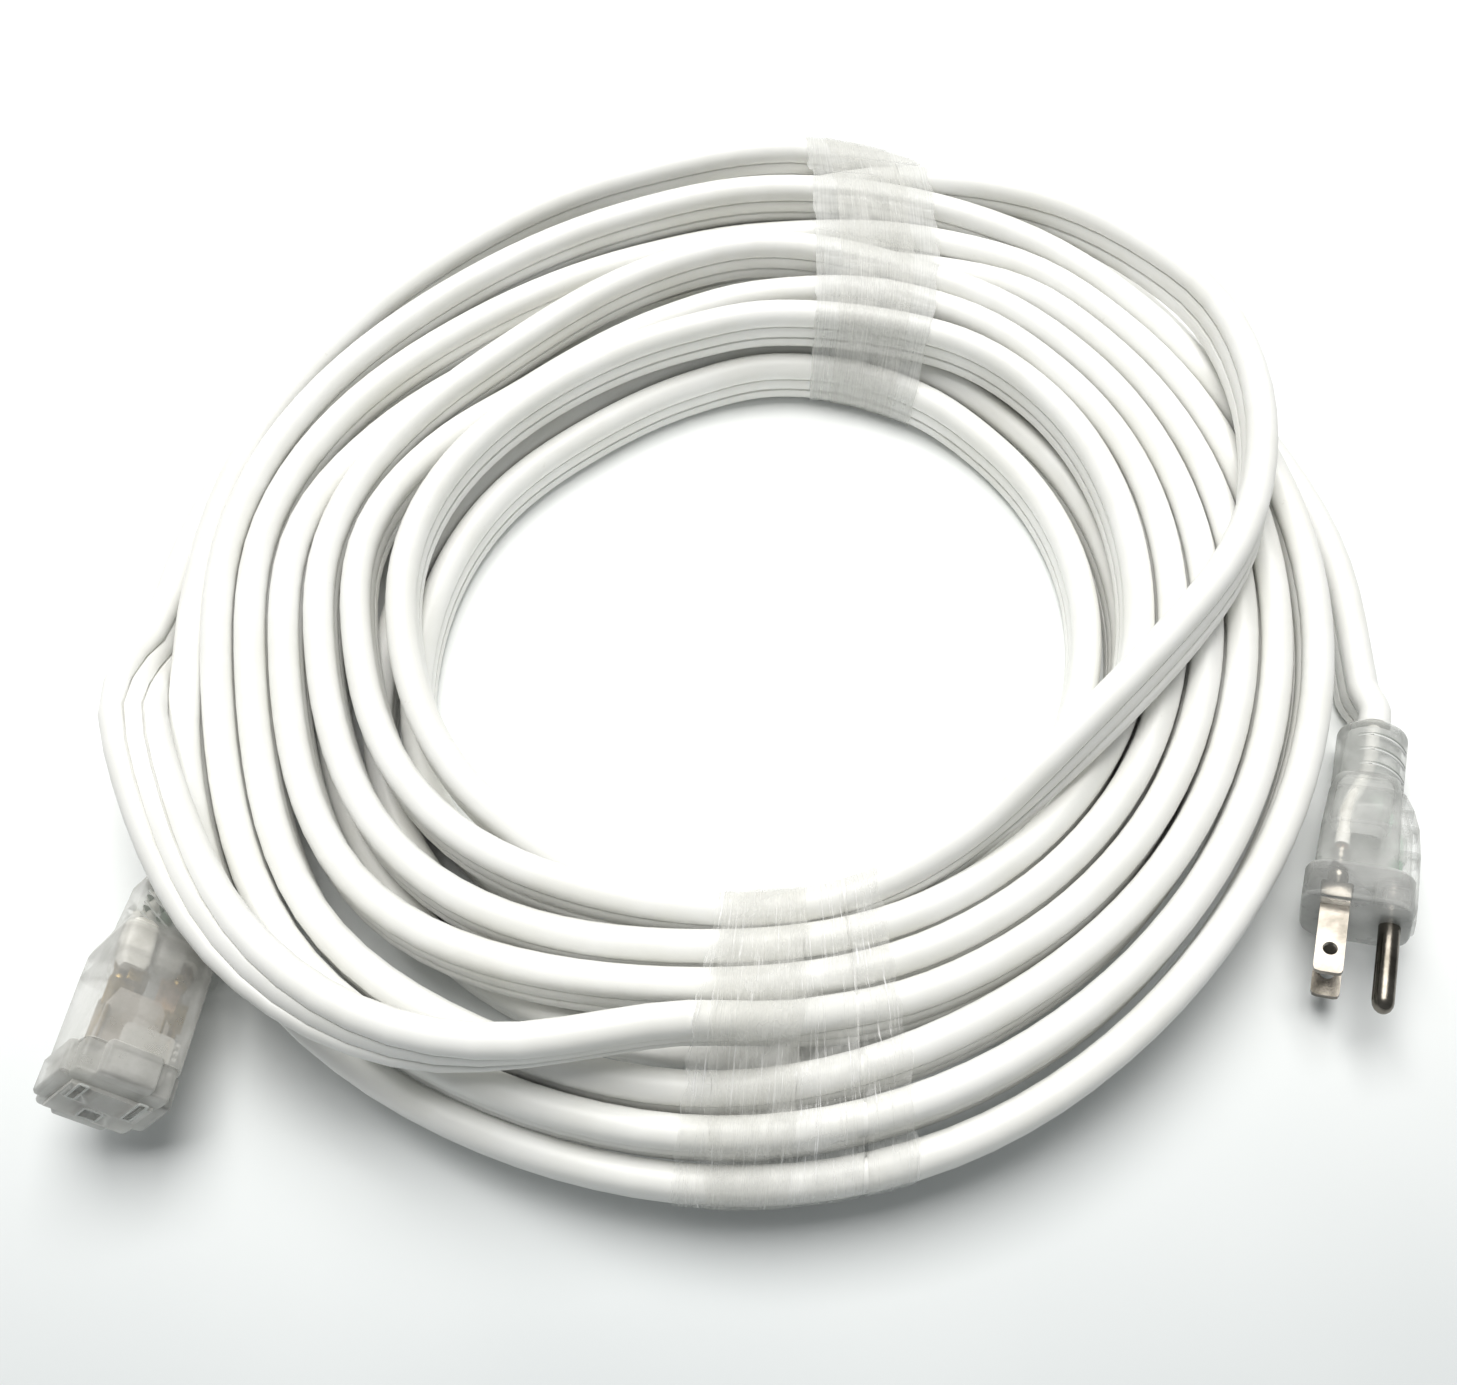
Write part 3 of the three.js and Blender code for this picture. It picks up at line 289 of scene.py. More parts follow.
def linear(code):
    """An sRGB hex colour as linear RGBA."""
    values = [int(code[i : i + 2], 16) / 255 for i in (1, 3, 5)]
    return tuple(v / 12.92 if v <= 0.04045 else ((v + 0.055) / 1.055) ** 2.4 for v in values) + (1.0,)


def add_node(tree, kind, x, y, settings=None, **inputs):
    node = tree.nodes.new(kind)
    node.location = (x, y)
    for key, value in (settings or {}).items():
        setattr(node, key, value)
    for key, value in inputs.items():
        name = key.replace("_", " ")
        node.inputs[int(key[1:]) if key[0] == "i" and key[1:].isdigit() else name].default_value = value
    return node


def new_material(name):
    material = bpy.data.materials.new(name)
    material.use_nodes = True
    tree = material.node_tree
    tree.nodes.clear()
    out = add_node(tree, "ShaderNodeOutputMaterial", 600, 0)
    shader = add_node(tree, "ShaderNodeBsdfPrincipled", 300, 0)
    tree.links.new(shader.outputs[0], out.inputs[0])
    return material, tree, shader


def finish_piece(bm, name, material, smooth_angle=40.0, matrix=None, replaces=()):
    """A bmesh in millimetres as an object in the row frame, with sharp edges over the angle."""
    name = name.replace(" ", "_")
    if matrix is not None:
        bmesh.ops.transform(bm, matrix=matrix, verts=bm.verts)
    bmesh.ops.translate(bm, vec=RING, verts=bm.verts)
    bmesh.ops.scale(bm, vec=(MM,) * 3, verts=bm.verts)
    bmesh.ops.recalc_face_normals(bm, faces=bm.faces)
    limit = math.radians(smooth_angle)
    for face in bm.faces:
        face.smooth = True
    for edge in bm.edges:
        edge.smooth = len(edge.link_faces) != 2 or edge.calc_face_angle(0.0) < limit
    mesh = bpy.data.meshes.new(name)
    bm.to_mesh(mesh)
    bm.free()
    mesh.materials.append(material)
    obj = bpy.data.objects.new(name, mesh)
    bpy.context.scene.collection.objects.link(obj)
    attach(obj, "root")
    if replaces:
        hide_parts(*replaces)
    return obj


def new_verts(made):
    return [g for g in made if isinstance(g, bmesh.types.BMVert)]


def swept(bm, loops, closed=True):
    """Extrudes a ring of points from each loop to the next, and closes both ends."""
    ring = [bm.verts.new(p) for p in loops[0]]
    start = list(ring)
    rings = [ring]
    edges = [bm.edges.new((ring[i], ring[(i + 1) % len(ring)])) for i in range(len(ring))]
    for loop in loops[1:]:
        made = bmesh.ops.extrude_edge_only(bm, edges=edges)["geom"]
        verts = set(new_verts(made))
        edges = [g for g in made if isinstance(g, bmesh.types.BMEdge)]
        ring = [next(e.other_vert(old) for e in old.link_edges if e.other_vert(old) in verts) for old in ring]
        for vert, p in zip(ring, loop):
            vert.co = p
        rings.append(ring)
    if closed:
        bm.faces.new(start[::-1])
        bm.faces.new(ring)
    return rings


def tube(bm, points, radii, sides=16):
    """A round rod through the points, extruded from a circle; radii may differ along it."""
    way = [Vector(p) for p in points]
    if not isinstance(radii, (list, tuple)):
        radii = [radii] * len(way)

    def place(i):
        run = way[min(i + 1, len(way) - 1)] - way[max(i - 1, 0)]
        turn = run.to_track_quat("Z", "Y").to_matrix().to_4x4()
        return Matrix.Translation(way[i]) @ turn @ Matrix.Diagonal((radii[i], radii[i], 1, 1))

    made = bmesh.ops.create_circle(bm, cap_ends=True, segments=sides, radius=1.0)["verts"]
    last = place(0)
    bmesh.ops.transform(bm, matrix=last, verts=made)
    face = made[0].link_faces[0]
    for i in range(1, len(way)):
        grown = bmesh.ops.extrude_face_region(bm, geom=[face])["geom"]
        face = next(g for g in grown if isinstance(g, bmesh.types.BMFace))
        bmesh.ops.transform(bm, matrix=place(i) @ last.inverted(), verts=new_verts(grown))
        last = place(i)
    return bm


def lofted(bm, sections, corner=0.15, segments=4):
    """A body along y from rows (y, x0, x1, z0, z1); the corner is a share of the width, rounded."""
    made = bmesh.ops.create_grid(bm, x_segments=1, y_segments=1, size=0.5)["verts"]
    before = set(bm.verts) - set(made)
    bmesh.ops.bevel(
        bm, geom=made, offset=corner, offset_type="OFFSET", segments=segments, profile=0.5,
        affect="VERTICES", material=-1,
    )
    verts = [v for v in bm.verts if v not in before]
    bmesh.ops.rotate(bm, cent=(0, 0, 0), matrix=Matrix.Rotation(math.radians(90), 3, "X"), verts=verts)

    def place(row):
        y, x0, x1, z0, z1 = row
        centre = Vector(((x0 + x1) / 2, y, (z0 + z1) / 2))
        return Matrix.Translation(centre) @ Matrix.Diagonal((x1 - x0, 1, z1 - z0, 1))

    last = place(sections[0])
    bmesh.ops.transform(bm, matrix=last, verts=verts)
    face = verts[0].link_faces[0]
    for row in sections[1:]:
        grown = bmesh.ops.extrude_face_region(bm, geom=[face])["geom"]
        face = next(g for g in grown if isinstance(g, bmesh.types.BMFace))
        bmesh.ops.transform(bm, matrix=place(row) @ last.inverted(), verts=new_verts(grown))
        last = place(row)
    return bm


def block(bm, x0, x1, y0, y1, z0, z1, bevel=0.3):
    """A box with rounded edges."""
    centre = Matrix.Translation(((x0 + x1) / 2, (y0 + y1) / 2, (z0 + z1) / 2))
    size = Matrix.Diagonal((x1 - x0, y1 - y0, z1 - z0, 1))
    verts = bmesh.ops.create_cube(bm, size=1.0, matrix=centre @ size)["verts"]
    edges = list({e for v in verts for e in v.link_edges})
    bmesh.ops.bevel(
        bm, geom=edges, offset=bevel, offset_type="OFFSET", segments=2, profile=0.5, affect="EDGES", material=-1,
    )
    return bm


def strand_bundle(bm, start, end, radius, count=14, flare=0.15):
    """Bare strands side by side, each a thin rod, slightly spread where they are free."""
    a, b = Vector(start), Vector(end)
    for k in range(count):
        turn = 2 * math.pi * k / count * 2.4
        out = radius * math.sqrt((k + 0.5) / count)
        off = Vector((out * math.cos(turn), 0, out * math.sin(turn)))
        mid = (a + b) / 2 + off * (1 + flare)
        tube(bm, (a + off, mid, b + off * (1 + 0.5 * flare)), 0.24, 6)
    return bm


def cord_outline():
    """The three-lobed section: u along the width, v across, in millimetres."""
    r = CORD_THICKNESS / 2
    half = []
    for k in range(15):
        a = math.radians(-110 + 220 * k / 14)
        half.append((r + r * math.cos(a), r * math.sin(a)))
    half += [(2.3, 3.35), (2.05, 2.3), (1.8, 3.4), (1.2, 3.64), (0.0, 3.72), (-1.2, 3.64), (-1.8, 3.4), (-2.05, 2.3)]
    return half + [(-u, -v) for u, v in half]


# ------------------------------------------------------------------ materials


def add_bump(tree, shader, coords, scale, strength, distance, detail=3.0, vector="Object"):
    """A fine noise relief on the shader, its scale in cells a metre."""
    grain = add_node(tree, "ShaderNodeTexNoise", -650, -320, Scale=scale, Detail=detail, Roughness=0.6)
    bump = add_node(tree, "ShaderNodeBump", -50, -320, Strength=strength, Distance=distance)
    tree.links.new(coords.outputs[vector], grain.inputs["Vector"])
    tree.links.new(grain.outputs["Fac"], bump.inputs["Height"])
    tree.links.new(bump.outputs["Normal"], shader.inputs["Normal"])
    return bump


def add_ramp(tree, source, x, y, low, high, start=0.3, end=0.7):
    ramp = add_node(tree, "ShaderNodeValToRGB", x, y)
    ramp.color_ramp.elements[0].position = start
    ramp.color_ramp.elements[0].color = low
    ramp.color_ramp.elements[1].position = end
    ramp.color_ramp.elements[1].color = high
    tree.links.new(source, ramp.inputs["Fac"])
    return ramp


def jacket_material(colour):
    """Off-white PVC: a soft mottle, a few faint scuffs and a fine grain."""
    material, tree, shader = new_material("off-white PVC cord jacket")
    coords = add_node(tree, "ShaderNodeTexCoord", -1100, 0)
    mottle = add_node(tree, "ShaderNodeTexNoise", -850, 220, Scale=45.0, Detail=4.0, Roughness=0.55)
    tree.links.new(coords.outputs["Object"], mottle.inputs["Vector"])
    base = tuple(colour) + (1.0,)
    deep = (base[0] * 0.95, base[1] * 0.948, base[2] * 0.93, 1.0)
    tone = add_ramp(tree, mottle.outputs["Fac"], -600, 220, deep, base, 0.36, 0.62)
    scuff = add_node(tree, "ShaderNodeTexNoise", -850, -60, Scale=160.0, Detail=6.0, Roughness=0.75)
    tree.links.new(coords.outputs["Object"], scuff.inputs["Vector"])
    marks = add_ramp(tree, scuff.outputs["Fac"], -600, -60, (1, 1, 1, 1), (0.8, 0.79, 0.75, 1.0), 0.66, 0.78)
    mix = add_node(tree, "ShaderNodeMix", -250, 160, {"data_type": "RGBA", "blend_type": "MULTIPLY"}, i0=1.0)
    tree.links.new(tone.outputs["Color"], mix.inputs[6])
    tree.links.new(marks.outputs["Color"], mix.inputs[7])
    tree.links.new(mix.outputs[2], shader.inputs["Base Color"])
    rough = add_node(tree, "ShaderNodeMapRange", -250, -60, i3=0.36, i4=0.52)
    tree.links.new(mottle.outputs["Fac"], rough.inputs["Value"])
    tree.links.new(rough.outputs["Result"], shader.inputs["Roughness"])
    add_bump(tree, shader, coords, 900.0, 0.12, 0.0002)
    shader.inputs["IOR"].default_value = 1.48
    shader.inputs["Subsurface Weight"].default_value = 0.04
    shader.inputs["Subsurface Radius"].default_value = (0.003, 0.0029, 0.0026)
    shader.inputs["Subsurface Scale"].default_value = 1.0
    return material


def clear_material(name, low, high, roughness, alpha, edge, grain=700.0, strength=0.25):
    """Frosted PVC that shows what is inside it, cloudy in patches and denser toward its outlines."""
    material, tree, shader = new_material(name)
    coords = add_node(tree, "ShaderNodeTexCoord", -1100, 0)
    cloud = add_node(tree, "ShaderNodeTexNoise", -850, 200, Scale=140.0, Detail=4.0, Roughness=0.6)
    tree.links.new(coords.outputs["Object"], cloud.inputs["Vector"])
    tone = add_ramp(tree, cloud.outputs["Fac"], -600, 200, linear(low), linear(high), 0.35, 0.65)
    tree.links.new(tone.outputs["Color"], shader.inputs["Base Color"])
    rough = add_node(tree, "ShaderNodeMapRange", -250, -60, i3=roughness * 0.8, i4=roughness * 1.25)
    tree.links.new(cloud.outputs["Fac"], rough.inputs["Value"])
    tree.links.new(rough.outputs["Result"], shader.inputs["Roughness"])
    rim = add_node(tree, "ShaderNodeLayerWeight", -500, 420, Blend=0.35)
    dense = add_node(tree, "ShaderNodeMapRange", -250, 420, i1=0.15, i2=0.85, i3=alpha, i4=edge)
    tree.links.new(rim.outputs["Facing"], dense.inputs["Value"])
    tree.links.new(dense.outputs["Result"], shader.inputs["Alpha"])
    add_bump(tree, shader, coords, grain, strength, 0.0002)
    shader.inputs["IOR"].default_value = 1.45
    return material


def film_material(name, low, high, thin, thick, sharp):
    """Clear film: fine streaks along the wrap, wrinkles and cloudy patches set how much it covers; the streaks are
    drawn whiter, partly the film's own lines and partly painted glints.
    """
    material, tree, shader = new_material(name)
    coords = add_node(tree, "ShaderNodeTexCoord", -1500, 0)
    turn = add_node(tree, "ShaderNodeMapping", -1300, 200)
    turn.inputs["Scale"].default_value = (0.05, 1.6, 1.0)
    streaks = add_node(tree, "ShaderNodeTexNoise", -1100, 200, Scale=1.0, Detail=5.0, Roughness=0.7, Distortion=0.6)
    tree.links.new(coords.outputs["UV"], turn.inputs["Vector"])
    tree.links.new(turn.outputs["Vector"], streaks.inputs["Vector"])
    patches = add_node(tree, "ShaderNodeTexNoise", -1100, -120, Scale=0.09, Detail=3.0, Roughness=0.6)
    tree.links.new(coords.outputs["UV"], patches.inputs["Vector"])
    # The streaks are whiter and denser than the rest of the film: partly the film's own fine lines, partly painted
    # glints of light.
    streaks_and_painted_glints = add_ramp(tree, streaks.outputs["Fac"], -850, 200, (0, 0, 0, 1), (1, 1, 1, 1), *sharp)
    cover = add_ramp(tree, patches.outputs["Fac"], -850, -120, (0, 0, 0, 1), (1, 1, 1, 1), 0.4, 0.68)
    both = add_node(tree, "ShaderNodeMath", -500, 120, {"operation": "MULTIPLY_ADD"}, i1=0.75)
    tree.links.new(streaks_and_painted_glints.outputs["Color"], both.inputs[0])
    share = add_node(tree, "ShaderNodeMath", -680, -60, {"operation": "MULTIPLY"}, i1=0.35)
    tree.links.new(cover.outputs["Color"], share.inputs[0])
    tree.links.new(share.outputs[0], both.inputs[2])
    alpha = add_node(tree, "ShaderNodeMapRange", -250, 120, i3=thin, i4=thick)
    tree.links.new(both.outputs[0], alpha.inputs["Value"])
    tree.links.new(alpha.outputs["Result"], shader.inputs["Alpha"])
    tone = add_ramp(tree, both.outputs[0], -250, 360, linear(low), linear(high), 0.1, 0.8)
    tree.links.new(tone.outputs["Color"], shader.inputs["Base Color"])
    bump = add_node(tree, "ShaderNodeBump", -50, -220, Strength=0.5, Distance=0.0004)
    tree.links.new(streaks.outputs["Fac"], bump.inputs["Height"])
    tree.links.new(bump.outputs["Normal"], shader.inputs["Normal"])
    shader.inputs["Roughness"].default_value = 0.16
    shader.inputs["IOR"].default_value = 1.5
    return material


def solid_material(name, low, high, roughness, metallic=0.0, scale=160.0, grain=700.0, strength=0.1):
    material, tree, shader = new_material(name)
    coords = add_node(tree, "ShaderNodeTexCoord", -1100, 0)
    mottle = add_node(tree, "ShaderNodeTexNoise", -850, 120, Scale=scale, Detail=4.0, Roughness=0.6)
    tree.links.new(coords.outputs["Object"], mottle.inputs["Vector"])
    tone = add_ramp(tree, mottle.outputs["Fac"], -600, 120, linear(low), linear(high), 0.38, 0.62)
    tree.links.new(tone.outputs["Color"], shader.inputs["Base Color"])
    rough = add_node(tree, "ShaderNodeMapRange", -250, -60, i3=roughness * 0.75, i4=roughness * 1.3)
    tree.links.new(mottle.outputs["Fac"], rough.inputs["Value"])
    tree.links.new(rough.outputs["Result"], shader.inputs["Roughness"])
    add_bump(tree, shader, coords, grain, strength, 0.0002)
    shader.inputs["Metallic"].default_value = metallic
    shader.inputs["IOR"].default_value = 1.48
    return material


def nickel_material():
    return solid_material("nickel-plated brass", "#57534c", "#87827a", 0.25, 1.0, 90.0, 1500.0, 0.12)


def brass_material():
    return solid_material("dull brass strip", "#665534", "#a08956", 0.36, 1.0, 120.0)


def copper_material():
    return solid_material("bare copper strands", "#715a45", "#a68a6e", 0.36, 1.0, 400.0)


def sleeve_material():
    return solid_material("white PVC insulation", "#cfcdc5", "#eeece6", 0.45)


# ------------------------------------------------------------------ tape


def around(lobes, reach):
    """The taut loop round the lobes at the given distance, as (r, z, normal r, normal z)."""
    loop = []
    for k in range(360):
        a = math.radians(k - 90)
        d = (math.cos(a), math.sin(a))
        r, z = max(lobes, key=lambda c: c[0] * d[0] + c[1] * d[1])
        loop.append((r + reach * d[0], z + reach * d[1], d[0], d[1]))
    return loop


def evenly(loop, count):
    """The loop again with points at equal steps, and the way round it at each."""
    closed = loop + [loop[0]]
    run = [0.0]
    for a, b in zip(closed, closed[1:]):
        run.append(run[-1] + math.hypot(b[0] - a[0], b[1] - a[1]))
    out = []
    i = 0
    for k in range(count):
        want = run[-1] * k / count
        while run[i + 1] < want:
            i += 1
        s = (want - run[i]) / max(run[i + 1] - run[i], 1e-9)
        out.append([(1 - s) * a + s * b for a, b in zip(closed[i], closed[i + 1])])
    return out, run[-1]


def sagged(loop, lobes, reach, share, most, seed):
    """The taut loop sunk a little between the strands and wrinkled, never nearer to them than the reach."""
    depth = []
    for r, z, nr, nz in loop:
        free = 3 * most / share
        for cr, cz in lobes:
            ahead = (cr - r) * -nr + (cz - z) * -nz
            aside = abs((cr - r) * nz - (cz - z) * nr)
            if aside < reach and ahead > 0:
                free = min(free, max(ahead - math.sqrt(reach**2 - aside**2), 0.0))
        depth.append(min(share * free, most))
    n = len(loop)
    for _ in range(2):
        depth = [min(depth[i], (depth[i - 1] + 2 * depth[i] + depth[(i + 1) % n]) / 4 + 0.05) for i in range(n)]
    out = []
    for i, (r, z, nr, nz) in enumerate(loop):
        wave = 0.35 + 0.3 * noise.noise(Vector((i * 0.21, seed * 1.7, 0.3)))
        sink = depth[i] - max(wave, 0.0) * min(1.0, 0.35 + depth[i])
        out.append((r - nr * sink, max(z - nz * sink, 0.12)))
    return out


def tape_band(bm, edges, reach, share, most, seed, steps=44, count=230):
    """A wrap of film round the bundle; edges give its left and right side in degrees at a radius."""
    end, station = way_functions()
    uv = bm.loops.layers.uv.new("wrap")
    loops = []
    where = {}
    for k in range(steps + 1):
        f = k / steps
        lobes = []
        for n in range(len(WINDING) + 1):
            angle = math.radians(sum(edges(120.0)) / 2)
            for _ in range(3):
                turn = (math.pi - angle) / (2 * math.pi) % 1 + n
                if turn > end:
                    break
                at, run, stand = station(turn)
                r = math.hypot(at.x, at.y)
                left, right = edges(r)
                angle = math.radians(left + (right - left) * f)
            if turn > end:
                continue
            out = Vector((at.x, at.y, 0)).normalized()
            along = Vector((-out.y, out.x, 0))
            taller = CORD_THICKNESS / 2 * (1 / abs(run.dot(along)) - 1)
            for side in (-1, 1):
                off = stand * (side * CORD_THICKNESS / 2)
                lobe = at + off - run * (off.dot(along) / run.dot(along))
                lobes.append((lobe.dot(out), lobe.z + taller))
        loop, length = evenly(around(lobes, reach), count)
        shape = sagged(loop, lobes, reach, share, most, seed + 3.0 * f)
        ragged = 0.0
        points = []
        for i, (r, z) in enumerate(shape):
            left, right = edges(r)
            if k in (0, steps):
                ragged = 0.55 * noise.noise(Vector((i * 0.16, seed, k * 0.1)))
            a = math.radians(left + (right - left) * f + ragged)
            points.append(Vector((r * math.cos(a), r * math.sin(a), z)))
        loops.append(points)
        where[k] = (length, f)
    rings = swept(bm, loops, closed=False)
    place = {}
    for k, ring in enumerate(rings):
        length, f = where[k]
        for i, vert in enumerate(ring):
            place[vert] = (length * i / count, 45.0 * f)
    for face in bm.faces:
        us = [place[loop.vert][0] for loop in face.loops]
        for loop, u in zip(face.loops, us):
            turned = u + (where[0][0] if max(us) - u > 100 else 0)
            loop[uv].uv = (turned, place[loop.vert][1])
    return bm


# ------------------------------------------------------------------ properties


class CordProperties(bpy.types.PropertyGroup):
    colour: bpy.props.FloatVectorProperty(
        name="Jacket colour", description="Colour of the cord's jacket", subtype="COLOR", size=3,
        default=linear("#f3f3f0")[:3], min=0.0, max=1.0,
    )
    steps: bpy.props.IntProperty(
        name="Steps per turn", description="How finely each turn of the cord is built", default=110, min=24, max=144,
    )


class TapeProperties(bpy.types.PropertyGroup):
    sag: bpy.props.FloatProperty(
        name="Sag", description="Share of the free depth between two strands that the film sinks into",
        default=0.3, min=0.0, max=0.8,
    )
    clearance: bpy.props.FloatProperty(
        name="Clearance", description="Room between the cord and the film", default=0.0004, min=0.0001, max=0.002,
        unit="LENGTH",
    )


class StageProperties(bpy.types.PropertyGroup):
    lens: bpy.props.FloatProperty(
        name="Focal length", description="Focal length of the camera", default=34.295, min=10, max=200, unit="CAMERA",
    )
    key_power: bpy.props.FloatProperty(
        name="Key lamp", description="Power of the large lamp overhead", default=17.0, min=0, unit="POWER",
    )
    room: bpy.props.FloatProperty(
        name="Room light", description="Strength of the light from all round", default=0.24, min=0, max=2,
    )


# ------------------------------------------------------------------ operators


class CORD_OT_cord(bpy.types.Operator):
    """Build the whole cord in one piece, from the connector to the plug"""

    bl_idname = "cord.cord"
    bl_label = "Cord"

    def execute(self, context):
        settings = context.scene.flat_cord
        coil = coil_way(settings.steps)
        plug = placing(PLUG_AT, PLUG_TURN)
        connector = placing(CONNECTOR_AT, CONNECTOR_TURN)
        at, run, stand = coil[0]
        to, out, up = back_of(connector, CONNECTOR_LENGTH, CONNECTOR_AXIS_Z, -1)
        start = [(p, -r, s) for p, r, s in lead_way(at, -run, stand, to, out, up)][::-1]
        at, run, stand = coil[-1]
        to, out, up = back_of(plug, PLUG_LENGTH, PLUG_AXIS_Z, -1)
        way = start + coil + lead_way(at, run, stand, to, out, up)
        outline = cord_outline()
        loops = []
        for at, run, stand in way:
            flat = run.cross(stand)
            loops.append([at + stand * u + flat * v for u, v in outline])
        bm = bmesh.new()
        swept(bm, loops)
        obj = finish_piece(
            bm, "cord", jacket_material(settings.colour), 50,
            replaces=("coil", "plug_lead", "connector_lead"),
        )
        path = [(p[0] + RING) * MM for p in way]
        length = sum((b - a).length for a, b in zip(path, path[1:]))
        tuple(path[0])
        [tuple(p) for p in path]
        return {"FINISHED"}


class CORD_OT_tape(bpy.types.Operator):
    """Wrap the two bands of film round the bundle, each in an under and an upper layer"""

    bl_idname = "cord.tape"
    bl_label = "Tape"

    def execute(self, context):
        settings = context.scene.cord_tape
        reach = CORD_THICKNESS / 2 + settings.clearance / MM
        film = film_material("clear tape film", "#e3e3de", "#ffffff", 0.1, 0.92, (0.56, 0.68))
        cloudy = film_material("clear tape film, doubled", "#e4e3dc", "#fefefb", 0.12, 0.72, (0.55, 0.7))
        even = film_material("clear tape film, even", "#dcddda", "#f2f2f0", 0.3, 0.62, (0.38, 0.86))

        def near(r):
            return -99.2, -77.2 - 0.045 * (r - 95)

        def near_upper(r):
            return -97.5 + 0.03 * (r - 120), -88.5 - 0.05 * (r - 120)

        def far(r):
            return 85.6 - 0.065 * (140 - r), 71.5 - 0.22 * (140 - r)

        def far_upper(r):
            return 83.0 - 0.1 * (140 - r), 75.0 - 0.2 * (140 - r)

        bands = (
            ("near tape band", near, 0.0, 1.0, film, "near_tape_band"),
            ("near tape upper layer", near_upper, 0.22, 5.0, cloudy, None),
            ("far tape band", far, 0.0, 9.0, even, "far_tape_band"),
            ("far tape upper layer", far_upper, 0.22, 13.0, cloudy, None),
        )
        for name, edges, more, seed, material, node in bands:
            bm = tape_band(bmesh.new(), edges, reach + more, settings.sag, 1.7, seed)
            finish_piece(bm, name, material, 180, replaces=(node,) if node else ())
        return {"FINISHED"}


def blade_piece(bm, x, z, matrix_y=17.0):
    """A flat blade with a round hole near its end, from two bridged outlines and a thickness."""
    hole = bmesh.ops.create_circle(bm, cap_ends=False, segments=32, radius=1.6)["verts"]
    bmesh.ops.translate(bm, verts=hole, vec=(0, 11.2, 0))
    outer = bmesh.ops.create_circle(bm, cap_ends=False, segments=32, radius=3.2)["verts"]
    for vert in outer:
        a = math.atan2(vert.co.y, vert.co.x)
        grow = min(1 / max(abs(math.cos(a)), 1e-6), 1 / max(abs(math.sin(a)), 1e-6))
        vert.co = Vector((math.cos(a) * grow * 3.1, 11.2 + math.sin(a) * grow * 3.1, 0))
    rim = [e for e in bm.edges if e.verts[0] in hole + outer]
    bmesh.ops.bridge_loops(bm, edges=rim)
    front = [e for e in bm.edges if all(abs(v.co.y - 14.3) < 1e-3 for v in e.verts)]
    back = [e for e in bm.edges if all(abs(v.co.y - 8.1) < 1e-3 for v in e.verts)]
    for edges, rows in ((front, ((15.9, 3.1), (16.7, 2.75), (17.0, 2.1))), (back, ((-5.0, 3.1),))):
        for y, half in rows:
            made = bmesh.ops.extrude_edge_only(bm, edges=edges)["geom"]
            edges = [g for g in made if isinstance(g, bmesh.types.BMEdge)]
            for vert in new_verts(made):
                vert.co = Vector((vert.co.x * half / 3.1, y, 0))
    bmesh.ops.recalc_face_normals(bm, faces=bm.faces)
    bmesh.ops.solidify(bm, geom=bm.faces[:], thickness=1.5)
    low = min(v.co.z for v in bm.verts)
    bmesh.ops.translate(bm, verts=bm.verts, vec=(0, 0, -low - 0.75))
    bmesh.ops.rotate(bm, verts=bm.verts, cent=(0, 0, 0), matrix=Matrix.Rotation(math.radians(90), 3, "Y"))
    bmesh.ops.translate(bm, verts=bm.verts, vec=(x, 0, z))
    return bm


def core_way(length, axis_z, spread, x, z, reach):
    """The way of one core inside a fitting, from the cord to its crimp barrel."""
    shares = ((0, 0), (0.26, 0), (0.38, 0.12), (0.5, 0.42), (0.62, 0.76), (0.74, 0.97), (1, 1))
    return [
        Vector((spread + (x - spread) * w, -length + 0.3 + (length - reach - 0.3) * s, axis_z + (z - axis_z) * w))
        for s, w in shares
    ]


def barrel(bm, x, z, y0, y1, radius):
    """A crimp barrel with a flared mouth and a waist."""
    steps = ((0.0, 1.12), (0.1, 1.0), (0.32, 1.0), (0.4, 0.86), (0.6, 0.86), (0.68, 1.02), (0.86, 1.02), (1.0, 0.8))
    points = [(x, y0 + (y1 - y0) * s, z) for s, _ in steps]
    return tube(bm, points, [radius * w for _, w in steps], 20)


